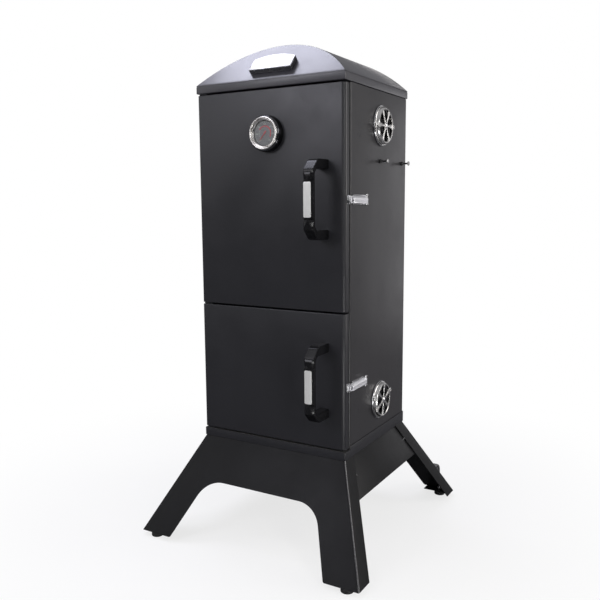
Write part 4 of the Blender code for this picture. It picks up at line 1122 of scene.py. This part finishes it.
def handle_inlay(which):
    tag = cad(f"{which}_handle_plate")
    half_x, half_z = (tag.right - tag.left) / 2, (tag.top - tag.bottom) / 2
    mesh = plate([rectangle(-half_x, half_x, -half_z, half_z, 0.0032)], 0.0014,
                 at(tag.x, tag.y, tag.z) @ FACING_FRONT, 0.0004)
    piece(f"{which}_handle_inlay", paint(mesh, PLATE), f"{which}_door",
          f"{which}_handle_plate")


def latch_keeper(which):
    """A small plate with two upright bars and two cross bars."""
    keeper = cad(f"{which}_latch_keeper")
    x, z, front, back = keeper.left, keeper.z, keeper.front, keeper.back
    made = [plate([rectangle(front, back, z - 0.0100, z + 0.0100, 0.0022, 5)], 0.0012,
                  at(x + 0.0006) @ FACING_SIDE, 0.0003)]
    for y in (front + 0.0026, back - 0.0026):
        made.append(box((x + 0.0008, y - 0.0021, z - 0.0092),
                        (x + 0.0051, y + 0.0021, z + 0.0092), 0.0012, 4))
    for dz in (-0.0084, 0.0084):
        made.append(box((x + 0.0006, front + 0.0016, z + dz - 0.0009),
                        (x + 0.0044, back - 0.0016, z + dz + 0.0009), 0.0006))
    piece(f"{which}_keeper_bars", paint(merged(*made), CHROME), f"{which}_door",
          f"{which}_latch_keeper")


for which in LEVELS:
    skin_box = cad(f"{which}_door_skin")
    bottom, top = skin_box.bottom, skin_box.top
    handle_z = cad(f"{which}_door_handle").z
    door_sheet(which, bottom, top)
    door_panel(which, bottom, top, handle_z)
    rope_seal(which, bottom, top)
    pull_handle(which, handle_z)
    handle_inlay(which)
    latch_keeper(which)

# ================================================================= thermometer
dial_box = cad("thermometer_dial")
GAUGE_X, GAUGE_Z = dial_box.x, dial_box.z
DIAL_R = (dial_box.right - dial_box.left) / 2
DIAL_Y = dial_box.front
SCALE_FROM, SCALE_TO = 100, 700
# Clock angles run in degrees from the top, clockwise as seen from the front.
START, SWEEP = -140.0, 280.0


def gauge_case():
    """Bezel, case and stem, with a nut on the stem behind the door."""
    profile = [  # radius, distance out from the door
        (0.0, 0.0108), (DIAL_R + 0.0004, 0.0108), (DIAL_R + 0.0004, 0.0166),
        (0.0292, 0.0172), (0.0318, 0.0188), (0.0326, 0.0190), (0.0328, 0.0182),
        (0.0333, 0.0180), (0.0337, 0.0190)]
    for k in range(9):
        x, y = polar(0.0023, math.radians(150 - 160 * k / 8))
        profile.append((0.0359 + x, 0.0194 + y))
    profile += [
        (0.0382, 0.0184), (0.0380, 0.0178), (0.0386, 0.0172), (0.0399, 0.0167),
        (0.0410, 0.0155), (0.0419, 0.0136), (0.0425, 0.0112), (0.0428, 0.0080),
        (0.0430, 0.0030), (0.0430, 0.0005), (0.0428, 0.0004), (0.0045, 0.0004),
        (0.0045, 0.0000), (0.0045, -0.0780), (0.0040, -0.0806), (0.0022, -0.0828),
        (0.0, -0.0830)]
    # The case sides take the chrome darkened as a painted dark reflection; the bezel's front
    # faces take the satin ring chrome.
    case = paint(lathe(profile, (GAUGE_X, FRONT_Y, GAUGE_Z), "-Y", 144), CASE_CHROME_PAINTED_DARK)
    case.materials.append(RING)
    for face in case.polygons:
        away = math.hypot(face.center.x - GAUGE_X, face.center.z - GAUGE_Z)
        if face.center.y < FRONT_Y - 0.0178 and away > 0.0290:
            face.material_index = 1
    nut = hex_nut((GAUGE_X, -0.1478, GAUGE_Z), "Y", flat=0.0090, height=0.0050, bore=0.0046)
    piece("thermometer_bezel", merged(case, paint(nut, STEEL_PIN)), "upper_door",
          "thermometer_case", angle=28)


def gauge_disc(radius, y):
    """A thin disc filling the case, chamfered on its front edge."""
    return lathe([(0.0, 0.0010), (radius, 0.0010), (DIAL_R, 0.0007), (DIAL_R, 0.0), (0.0, 0.0)],
                 (GAUGE_X, y, GAUGE_Z), "-Y", 96)


def clock_of(value):
    return START + SWEEP * (value - SCALE_FROM) / (SCALE_TO - SCALE_FROM)


def clock_point(radius, clock):
    return (radius * math.sin(math.radians(clock)), radius * math.cos(math.radians(clock)))


def on_dial(lift):
    return at(GAUGE_X, DIAL_Y - lift, GAUGE_Z)


def sector(inner, outer, start, end, material, steps=48):
    """A printed arc band between two radii and two clock angles."""
    outline = [clock_point(outer, start + (end - start) * k / steps) for k in range(steps + 1)]
    outline += [clock_point(inner, end - (end - start) * k / steps) for k in range(steps + 1)]
    return paint(plate([outline], 0.0001, on_dial(0.00010) @ FACING_FRONT), material)


def gauge_scale():
    marks = []
    for value in range(SCALE_FROM, SCALE_TO + 1, 25):
        if value % 100 == 0:
            inner, wide = 0.0236, 0.00040
        else:
            inner, wide = (0.0245 if value % 50 == 0 else 0.0253), 0.00022
        bar = box((-wide, -0.00006, inner), (wide, 0.00006, 0.0264))
        bar.transform(Matrix.Rotation(math.radians(clock_of(value)), 4, "Y"))
        bar.transform(on_dial(0.00008))
        marks.append(paint(bar, INK))
    for value in range(SCALE_FROM, SCALE_TO + 1, 100):
        font = bpy.data.curves.new("number", "FONT")
        font.body = str(value)
        font.size = 0.0050
        font.extrude = 0.00004
        font.align_x, font.align_y = "CENTER", "CENTER"
        font.resolution_u = 4
        mesh = solid(holder(font))
        x, z = clock_point(0.0213, clock_of(value))
        mesh.transform(at(GAUGE_X + x, DIAL_Y - 0.00008, GAUGE_Z + z) @ FACING_FRONT)
        marks.append(paint(tidy(mesh), INK))
    marks.append(sector(0.0146, 0.0184, clock_of(300) - 12, clock_of(700) - 20, RED))
    marks.append(sector(0.0148, 0.0153, START, clock_of(300) - 8, INK))
    marks.append(sector(0.0266, 0.0270, START, START + SWEEP, INK, steps=72))
    piece("thermometer_scale", merged(*marks), "upper_door", angle=40, clean=False)


def gauge_hand():
    """Tapered needle with a domed hub, at the start of the scale."""
    outline = fillet([(-0.0017, -0.0072), (0.0017, -0.0072), (0.0022, -0.0030), (0.0016, 0.0),
                      (0.00050, 0.0205), (-0.00050, 0.0205), (-0.0016, 0.0),
                      (-0.0022, -0.0030)],
                     [0.0009, 0.0009, 0.001, 0, 0.0002, 0.0002, 0, 0.001], True, 4)
    needle = plate([outline], 0.0006, at(), 0.0001, 1)
    hub = lathe([(0.0, 0.0014), (0.0011, 0.0013), (0.0021, 0.0009), (0.0026, 0.0003),
                 (0.0026, -0.0004), (0.0, -0.0004)], (0, 0, 0), "Z", 36)
    hand = merged(paint(needle, NEEDLE), paint(hub, NEEDLE))
    hand.transform(at(GAUGE_X, cad("thermometer_needle").y, GAUGE_Z)
                   @ Matrix.Rotation(math.radians(START), 4, "Y") @ FACING_FRONT)
    piece("thermometer_hand", hand, "thermometer_pointer", "thermometer_needle",
          clean=False)


gauge_case()
piece("thermometer_face", paint(gauge_disc(DIAL_R - 0.0004, DIAL_Y + 0.0010), DIAL),
      "upper_door", "thermometer_dial")
gauge_scale()
piece("thermometer_window",
      paint(gauge_disc(DIAL_R - 0.0003, cad("thermometer_lens").back), GLASS),
      "upper_door", "thermometer_lens")
gauge_hand()

# ================================================================= latches
LATCH_X, LATCH_Y = 0.2100, -0.0800  # the lever's pin in plan


def latch_mount(which, z):
    """Base plate with two lugs, the capped pin between them and two rivets."""
    foot_x = HALF_WIDE + 0.0014
    lug = fillet([(foot_x, -0.0880), (LATCH_X + 0.0040, -0.0850), (LATCH_X + 0.0040, -0.0745),
                  (foot_x, -0.0715)], [0, 0.0035, 0.0035, 0])
    made = [plate([rectangle(-0.1400, -0.0700, z - 0.0118, z + 0.0118, 0.0035)], SHEET,
                  at(HALF_WIDE + 0.0011) @ FACING_SIDE, 0.0004)]
    for dz in (-0.0108, 0.0108):
        made.append(plate([lug], 0.0018, at(z=z + dz), 0.0004))
        made.append(lathe([(0.0, 0.0020), (0.0014, 0.0018), (0.0024, 0.0012), (0.0028, 0.0004),
                           (0.0028, -0.0004), (0.0, -0.0004)],
                          (LATCH_X, LATCH_Y, z + dz + math.copysign(0.0009, dz)),
                          "Z" if dz > 0 else "-Z", 24))
    made.append(rod((LATCH_X, LATCH_Y, z - 0.0112), (LATCH_X, LATCH_Y, z + 0.0112), 0.0018, 24))
    made += [rivet((HALF_WIDE + 0.0018, y, z), "X", 0.0030, 0.0012) for y in (-0.1240, -0.1030)]
    piece(f"{which}_latch_mount", paint(merged(*made), CHROME), "cabinet",
          f"{which}_latch_base")


def latch_lever(which, z):
    """Hollow ribbed lever with a wire loop reaching forward."""
    inner, outer = LATCH_X - 0.0040, LATCH_X + 0.0035
    section = [  # x, height from the lever's middle
        (inner - 0.001, -0.0085), (outer - 0.0014, -0.0085), (outer - 0.0004, -0.0077),
        (outer - 0.0001, -0.0050), (outer - 0.0006, -0.0045), (outer - 0.0022, -0.0042),
        (outer - 0.0022, -0.0034), (outer - 0.0005, -0.0031), (outer, -0.0026),
        (outer, 0.0026), (outer - 0.0003, 0.0034), (outer - 0.0046, 0.0079),
        (outer - 0.0058, 0.0085), (inner - 0.001, 0.0085)]
    bar = plate([section], 0.0900, at(0, -0.1150, z) @ FACING_FRONT)
    plan = fillet([(inner, -0.1520), (inner, -0.0752), (inner + 0.0075, -0.0752),
                   (inner + 0.0075, -0.1520)], [0.001, 0.0037, 0.0037, 0.0022], True, 8)
    bar = cut(bar, plate([plan], 0.0300, at(z=z)), operation="INTERSECT")
    obj = holder(tidy(bar))
    bevel(obj, 0.0004, 2, 38)
    bar = cut(solid(obj), box((inner - 0.002, -0.1507, z - 0.0076),
                              (outer - 0.0062, -0.0700, z + 0.0076), 0.0008, 2))
    x, tip_y, half, bend = LATCH_X + 0.0010, -0.1625, 0.0062, 0.0026
    loop = [(x, -0.1490, z + half), (x, tip_y, z + half)]
    for k in range(1, 7):
        angle = math.pi / 2 * k / 6
        loop.append((x, tip_y - bend * math.sin(angle), z + half - bend * (1 - math.cos(angle))))
    loop += [(x, y, 2 * z - height) for x, y, height in reversed(loop)]
    mesh = merged(bar, wire(loop, 0.0014))
    piece(f"{which}_latch_handle", paint(mesh, LEVER), f"{which}_latch",
          f"{which}_latch_lever", angle=28)


for which in LEVELS:
    latch_z = cad(f"{which}_latch_base").z
    latch_mount(which, latch_z)
    latch_lever(which, latch_z)


# ================================================================= dampers
def openings(outer):
    """Six vent openings whose sides bow in; each station is (radius, degrees)."""
    sides = [(0.0092, 7.0), (0.0104, 15.0), (0.0130, 19.5), (0.0180, 21.8), (0.0240, 22.4),
             (0.0300, 22.4), (0.0335, 21.8), (0.0352, 20.2)]
    stations = sides + [(outer, turn) for turn in (17, 9, 0, -9, -17)]
    stations += [(radius, -turn) for radius, turn in reversed(sides)]
    return [[polar(radius, math.pi / 6 + k * math.pi / 3 + math.radians(turn))
             for radius, turn in stations] for k in range(6)]


def vent_seat(which, y, z):
    """Fixed disc with openings, its rolled rim and the centre pin."""
    centre = (HALF_WIDE, y, z)
    disc = plate([circle(0.0455, 96)] + openings(0.0355), 0.0014,
                 at(HALF_WIDE + 0.0010, y, z) @ FACING_SIDE, 0.0002, 1)
    rim = lathe([(0.0440, 0.0003), (0.0484, 0.0003), (0.0488, 0.0010), (0.0488, 0.0026),
                 (0.0486, 0.0036), (0.0481, 0.0043), (0.0475, 0.0042), (0.0471, 0.0034),
                 (0.0470, 0.0018), (0.0440, 0.0015)], centre, "X", 120, closed=True)
    pin = lathe([(0.0, 0.0164), (0.0018, 0.0163), (0.0038, 0.0157), (0.0054, 0.0149),
                 (0.0062, 0.0141), (0.0062, 0.0138), (0.0034, 0.0138), (0.0034, 0.0006),
                 (0.0, 0.0006)], centre, "X", 40)
    mesh = merged(paint(disc, SEAT), paint(rim, CHROME), paint(pin, CHROME))
    piece(f"{which}_vent_seat", mesh, "cabinet", f"{which}_damper_base", angle=35)


def vent_wheel(which, y, z, turn):
    """Turning wheel: spoked disc, flared rim, boss, ribs and two finger tabs."""
    x = HALF_WIDE
    made = [
        plate([circle(0.0392, 96), circle(0.0041, 24)] + openings(0.0383), 0.0026,
              at(x + 0.0118) @ FACING_SIDE, 0.0007, 3),
        lathe([(0.0388, 0.0106), (0.0388, 0.0132), (0.0396, 0.0138), (0.0408, 0.0137),
               (0.0418, 0.0128), (0.0424, 0.0116), (0.0431, 0.0102), (0.0435, 0.0094),
               (0.0440, 0.0070), (0.0444, 0.0058), (0.0450, 0.0054), (0.0460, 0.0052),
               (0.0460, 0.0040), (0.0456, 0.0034), (0.0448, 0.0034), (0.0442, 0.0048),
               (0.0434, 0.0070), (0.0424, 0.0088), (0.0410, 0.0102)],
              (x, 0, 0), "X", 144, closed=True),
        lathe([(0.0043, 0.0136), (0.0058, 0.0137), (0.0072, 0.0133), (0.0080, 0.0124),
               (0.0080, 0.0106), (0.0043, 0.0106)], (x, 0, 0), "X", 48, closed=True)]
    for k in range(6):
        made.append(rod((x + 0.0127, *polar(0.0095, k * math.pi / 3)),
                        (x + 0.0127, *polar(0.0390, k * math.pi / 3)), 0.0009, 14))
    for s in (-1, 1):
        front, back = sorted((s * 0.0405, s * 0.0494))
        made.append(box((x + 0.0106, front, -0.0044), (x + 0.0132, back, 0.0044), 0.0009))
        for rib in (-0.0026, 0.0026):
            made.append(box((x + 0.0110, front + 0.0004, rib - 0.0009),
                            (x + 0.0142, back - 0.0003, rib + 0.0009), 0.0007))
    mesh = merged(*made)
    mesh.transform(at(0, y, z) @ Matrix.Rotation(turn, 4, "X"))
    piece(f"{which}_vent_wheel", paint(mesh, WHEEL), f"{which}_damper",
          f"{which}_damper_disc", angle=35)


for which, turn in (("upper", 0.0), ("lower", math.radians(22))):
    vent_seat(which, *vents[which])
    vent_wheel(which, *vents[which], turn)


# ================================================================= tool hooks
def tool_hook(name):
    """Square base, turned stem and a domed head."""
    whole = cad(f"tool_hook_{name}")
    y, z, reach = whole.y, whole.z, whole.right - HALF_WIDE
    base = box((HALF_WIDE + 0.0002, y - 0.0048, z - 0.0048),
               (HALF_WIDE + 0.0040, y + 0.0048, z + 0.0048), 0.0009)
    stem = lathe([(0.0, reach - 0.0030), (0.0022, reach - 0.0030), (0.0022, 0.0062),
                  (0.0030, 0.0050), (0.0038, 0.0038), (0.0038, 0.0002), (0.0, 0.0002)],
                 (HALF_WIDE, y, z), "X", 32)
    head = lathe([(0.0, reach), (0.0038, reach - 0.0001), (0.0050, reach - 0.0005),
                  (0.0056, reach - 0.0013), (0.0056, reach - 0.0024), (0.0050, reach - 0.0032),
                  (0.0030, reach - 0.0038), (0.0, reach - 0.0040)],
                 (HALF_WIDE, y, z), "X", 40)
    mesh = merged(paint(base, HOOK_PAINT), paint(stem, HOOK_PAINT), paint(head, HOOK_HEAD))
    piece(f"tool_hook_{name}_turned", mesh, "cabinet", f"tool_hook_{name}",
          angle=30)


tool_hook("front")
tool_hook("rear")

# ================================================================= racks and pans
RACK_BARS = 27
BAR_MARGIN = 0.0125  # from the rack's side wire to the first bar


def wire_rack(number):
    whole = cad(f"cooking_rack_{number}")
    half_x, front, back, z = whole.right, whole.front, whole.back, whole.z
    radius = (whole.top - whole.bottom) / 2
    edge = rectangle(-half_x + radius, half_x - radius, front + radius, back - radius, 0.012, 8)
    made = [wire(raised(edge, z), radius, closed=True)]
    for k in range(RACK_BARS):
        x = (-half_x + radius + BAR_MARGIN
             + (2 * half_x - 2 * radius - 2 * BAR_MARGIN) * k / (RACK_BARS - 1))
        made.append(rod((x, front + radius * 0.7, z + 0.0004),
                        (x, back - radius * 0.7, z + 0.0004), 0.0014, 10))
    for part in (0.25, 0.5, 0.75):
        y = front + (back - front) * part
        made.append(rod((-half_x + radius, y, z - 0.0005), (half_x - radius, y, z - 0.0005),
                        0.0015, 10))
    piece(f"wire_rack_{number}", paint(merged(*made), WIRE), f"rack_{number}",
          f"cooking_rack_{number}", angle=50)


def pressed_pan(node, whole, levels):
    """A pan from (half width, inset front and back, drop from the rim, corner) levels."""
    points = []
    for half_x, inset, drop, radius in levels:
        loop = rectangle(-half_x, half_x, whole.front + inset, whole.back - inset, radius, 8)
        points += raised(loop, whole.top - drop)
    mesh = folded(points, nested_faces(len(loop), len(levels)), 0.0012)
    piece(f"{node}_pressed", paint(mesh, ENAMEL), f"{node}_body", node)


def water_pan():
    whole = cad("water_pan")
    half_x = whole.right
    levels = [(half_x - 0.0004, 0.0004, 0.0026, 0.012), (half_x, 0.0, 0.0010, 0.012),
              (half_x - 0.0012, 0.0012, 0.0, 0.012), (0.1600, 0.0160, 0.0, 0.020),
              (0.1578, 0.0184, 0.0014, 0.020), (0.1566, 0.0196, 0.0046, 0.020)]
    depth = whole.top - whole.bottom - 0.0012
    for part, inset in ((0.5, 0.0240), (0.84, 0.0288), (0.93, 0.0306), (0.98, 0.0336),
                        (1.0, 0.0390)):
        levels.append((0.1810 - inset * 0.92 - 0.003, inset, depth * part, 0.021))
    pressed_pan("water_pan", whole, levels)


def ash_pan():
    whole = cad("ash_pan")
    depth = whole.top - whole.bottom
    stations = (  # inset, drop from the rim, corner
        (0.0004, 0.0028, 0.010), (0.0, 0.0010, 0.010), (0.0010, 0.0, 0.010),
        (0.0050, 0.0, 0.010), (0.0062, 0.0014, 0.010), (0.0085, depth / 2, 0.010),
        (0.0100, depth - 0.0050, 0.011), (0.0118, depth - 0.0022, 0.011),
        (0.0150, depth - 0.0013, 0.011))
    pressed_pan("ash_pan", whole, [(whole.right - inset, inset, drop, radius)
                                   for inset, drop, radius in stations])


def slots(start, end, rows, deep):
    """Rows of round-ended slots centred between start and end."""
    pitch, wide = 0.0150, 0.0058
    count = int((end - start) // pitch)
    first = (start + end) / 2 - pitch * (count - 1) / 2
    middles = [first + k * pitch for k in range(count)]
    return [rectangle(x - wide / 2, x + wide / 2, row - deep / 2, row + deep / 2, wide * 0.49, 3)
            for row in rows for x in middles]


def charcoal_basket():
    """Flanged basket with slotted walls and floor and rounded corner posts."""
    whole = cad("charcoal_basket")
    bottom = whole.bottom
    wall_x, front, back = 0.1530, whole.front + 0.0200, whole.back - 0.0200
    made = [plate([rectangle(whole.left * 0 - whole.right, whole.right, whole.front, whole.back,
                             0.008),
                   rectangle(-wall_x + 0.001, wall_x - 0.001, front + 0.001, back - 0.001,
                             0.007)], SHEET, at(z=whole.top - 0.0008), 0.0004, 1)]
    tall = whole.top - bottom - SHEET
    middle_z = bottom + tall / 2 + 0.0006
    rows = (-tall * 0.24, tall * 0.24)

    def wall(start, end, matrix):
        return plate([rectangle(start + 0.007, end - 0.007, -tall / 2, tall / 2)]
                     + slots(start + 0.012, end - 0.012, rows, tall * 0.34), SHEET, matrix)

    for s, y in ((-1, front + SHEET / 2), (1, back - SHEET / 2)):
        made.append(wall(front, back, at(s * (wall_x - SHEET / 2), 0, middle_z) @ FACING_SIDE))
        made.append(wall(-wall_x, wall_x, at(0, y, middle_z) @ FACING_FRONT))
    floor_rows = [front + 0.028 + k * 0.0300
                  for k in range(int((back - front - 0.030) // 0.030) + 1)]
    made.append(plate([rectangle(-wall_x, wall_x, front, back, 0.008)]
                      + slots(-wall_x + 0.014, wall_x - 0.014, floor_rows, 0.0220),
                      SHEET, at(z=bottom + 0.00078), 0.0003, 1))

    def corner(sx, sy, edge, radius):
        """A quarter arc between straight ends; radius sets the outer or inner face."""
        inset = 0.0 if radius == 0.008 else 0.0016
        arc = [polar(radius, math.pi / 2 * k / 6) for k in range(7)]
        arc = [(sx * (wall_x - 0.008 + x), edge - sy * 0.008 + sy * y) for x, y in arc]
        return ([(sx * (wall_x - inset), edge - sy * 0.010)] + arc
                + [(sx * (wall_x - 0.010), edge - sy * inset)])

    for sx in (-1, 1):
        for sy, edge in ((-1, front), (1, back)):
            outline = corner(sx, sy, edge, 0.008) + corner(sx, sy, edge, 0.0064)[::-1]
            made.append(plate([outline], tall, at(z=middle_z)))
    piece("charcoal_basket_slotted", paint(merged(*made), BASKET), "charcoal_basket_body",
          "charcoal_basket", angle=40)


for number in range(1, 5):
    wire_rack(number)
water_pan()
ash_pan()
charcoal_basket()
bpy.data.collections.remove(scratch)


# ================================================================= stage
def studio_floor():
    """Floor that looks white from the camera, with a soft shaded patch round the legs."""
    mat = new_material("studio_floor")
    tone = mat.mix(mat.span(mat.noise(scale=1.3)), (0.92, 0.92, 0.92), (0.95, 0.95, 0.95))
    is_camera = mat.add("LightPath").outputs["Is Camera Ray"]
    mat.surface(color=mat.mix(is_camera, (0.20, 0.20, 0.205), tone), rough=0.9, spec=0.0)
    glow = mat.add("Emission", {"Color": (1.0, 1.0, 1.0)})
    apart = mat.add("VectorMath", {0: mat.places["Object"]}, operation="LENGTH")
    near = mat.span(apart.outputs["Value"], to=(0.27, 0.0), over=(0.30, 1.30),
                    interpolation_type="SMOOTHSTEP")
    shade = mat.maths("ADD", near, mat.maths("SUBTRACT", 1.0, is_camera))
    mat.blend_out(mat.maths("MINIMUM", shade, 1.0), glow.outputs[0], mat.bsdf.outputs[0])

    work = bmesh.new()
    bmesh.ops.create_grid(work, x_segments=8, y_segments=8, size=9.0)
    mesh = built(work)
    mesh.name = "studio_floor"
    mesh.materials.append(mat.owner)
    floor = bpy.data.objects.new("studio_floor", mesh)
    scene.collection.objects.link(floor)


def studio_world():
    """White to the camera; a grey ramp by height to everything else."""
    world = bpy.data.worlds.new("studio")
    scene.world = world
    nodes = Nodes(world)
    height = nodes.add("SeparateXYZ", {0: nodes.places["Generated"]}).outputs["Z"]
    ramp = nodes.add("ValToRGB", {"Fac": nodes.span(height, over=(-1.0, 1.0))})
    stops = [(0.0, 0.07), (0.47, 0.10), (0.56, 0.26), (0.72, 0.26), (1.0, 0.42)]
    elements = ramp.color_ramp.elements
    while len(elements) < len(stops):
        elements.new(0.5)
    for element, (position, grey) in zip(elements, stops):
        element.position = position
        element.color = (grey * 0.985, grey * 0.985, grey * 1.02, 1.0)
    is_camera = nodes.add("LightPath").outputs["Is Camera Ray"]
    nodes.feed(nodes.tree.nodes["Background"].inputs["Color"],
               nodes.mix(is_camera, ramp.outputs["Color"], (1.0, 1.0, 1.0)))


WHITE = (1.0, 1.0, 1.0)
SOFTBOXES = (  # name, place, aim, (width, height), watts, colour
    ("overhead_softbox", (-1.15, 0.42, 3.1), (-1.15, 0.42, 0.0), (1.3, 1.3), 31.0,
     (0.83, 0.84, 1.0)),
    ("right_softbox", (3.0, 1.3, 1.5), (0.2, 0.0, 0.8), (1.5, 2.4), 46.0, (1.0, 0.97, 0.95)),
    ("rear_right_softbox", (0.95, 2.95, 0.50), (0.2, 0.0, 0.75), (1.1, 1.9), 5.0,
     (0.98, 0.97, 1.0)),
    ("back_softbox", (-1.10, 3.10, 1.75), (0.0, 0.0, 1.15), (1.6, 0.8), 5.0,
     (1.0, 0.96, 0.95)),
    ("edge_strip", (2.40, -1.85, 1.65), (0.2, -0.1, 1.1), (0.45, 1.3), 13.0, WHITE),
    ("low_right_card", (0.92, -0.78, 0.03), (0.20, -0.15, 0.22), (0.35, 0.60), 5.0, WHITE),
    ("front_strip", (0.45, -3.15, 1.25), (0.1, -0.1, 0.9), (0.30, 1.3), 4.0, WHITE),
    ("front_softbox", (-1.30, -3.00, 2.15), (0.0, -0.2, 1.0), (1.2, 1.1), 21.0,
     (0.91, 0.90, 1.0)),
    ("dial_card", (-1.60, -2.70, 1.31), (0.0, -0.2, 1.0), (0.8, 0.45), 1.1, WHITE),
    ("top_front_softbox", (-0.45, -1.05, 2.15), (0.0, -0.1, 0.9), (0.9, 0.6), 3.0,
     (0.93, 0.93, 1.0)),
    ("left_softbox", (-3.2, -1.6, 1.6), (0.0, 0.0, 0.7), (1.2, 2.0), 14.0, WHITE),
)


def softbox(name, place, aim, size, watts, colour):
    light = bpy.data.lights.new(name, "AREA")
    light.shape = "RECTANGLE"
    light.size, light.size_y = size
    light.energy = watts
    light.color = colour
    obj = bpy.data.objects.new(name, light)
    scene.collection.objects.link(obj)
    obj.location = place
    obj.visible_camera = False
    obj.rotation_mode = "QUATERNION"
    obj.rotation_quaternion = (Vector(aim) - Vector(place)).to_track_quat("-Z", "Y")


def photo_view():
    camera = bpy.data.cameras.new("photo_view")
    camera.sensor_width = 36.0
    camera.lens = 42.4572
    eye = bpy.data.objects.new("photo_view", camera)
    scene.collection.objects.link(eye)
    yaw, pitch, roll = math.radians(30.304), math.radians(7.832), -0.0072
    ahead = Vector((-math.sin(yaw), math.cos(yaw), 0.0))
    right = Vector((math.cos(yaw), math.sin(yaw), 0.0))
    look = ahead * math.cos(pitch) - Vector((0, 0, 1)) * math.sin(pitch)
    up = right.cross(look)
    right, up = (right * math.cos(roll) + up * math.sin(roll),
                 -right * math.sin(roll) + up * math.cos(roll))
    turn = Matrix((right, up, -look)).transposed()
    eye.matrix_world = at(0.9185, -1.6042 + MIDDLE_Y, 0.8450) @ turn.to_4x4()
    scene.camera = eye


studio_floor()
studio_world()
for row in SOFTBOXES:
    softbox(*row)
photo_view()
scene.view_settings.view_transform = "Standard"
scene.view_settings.look = "None"
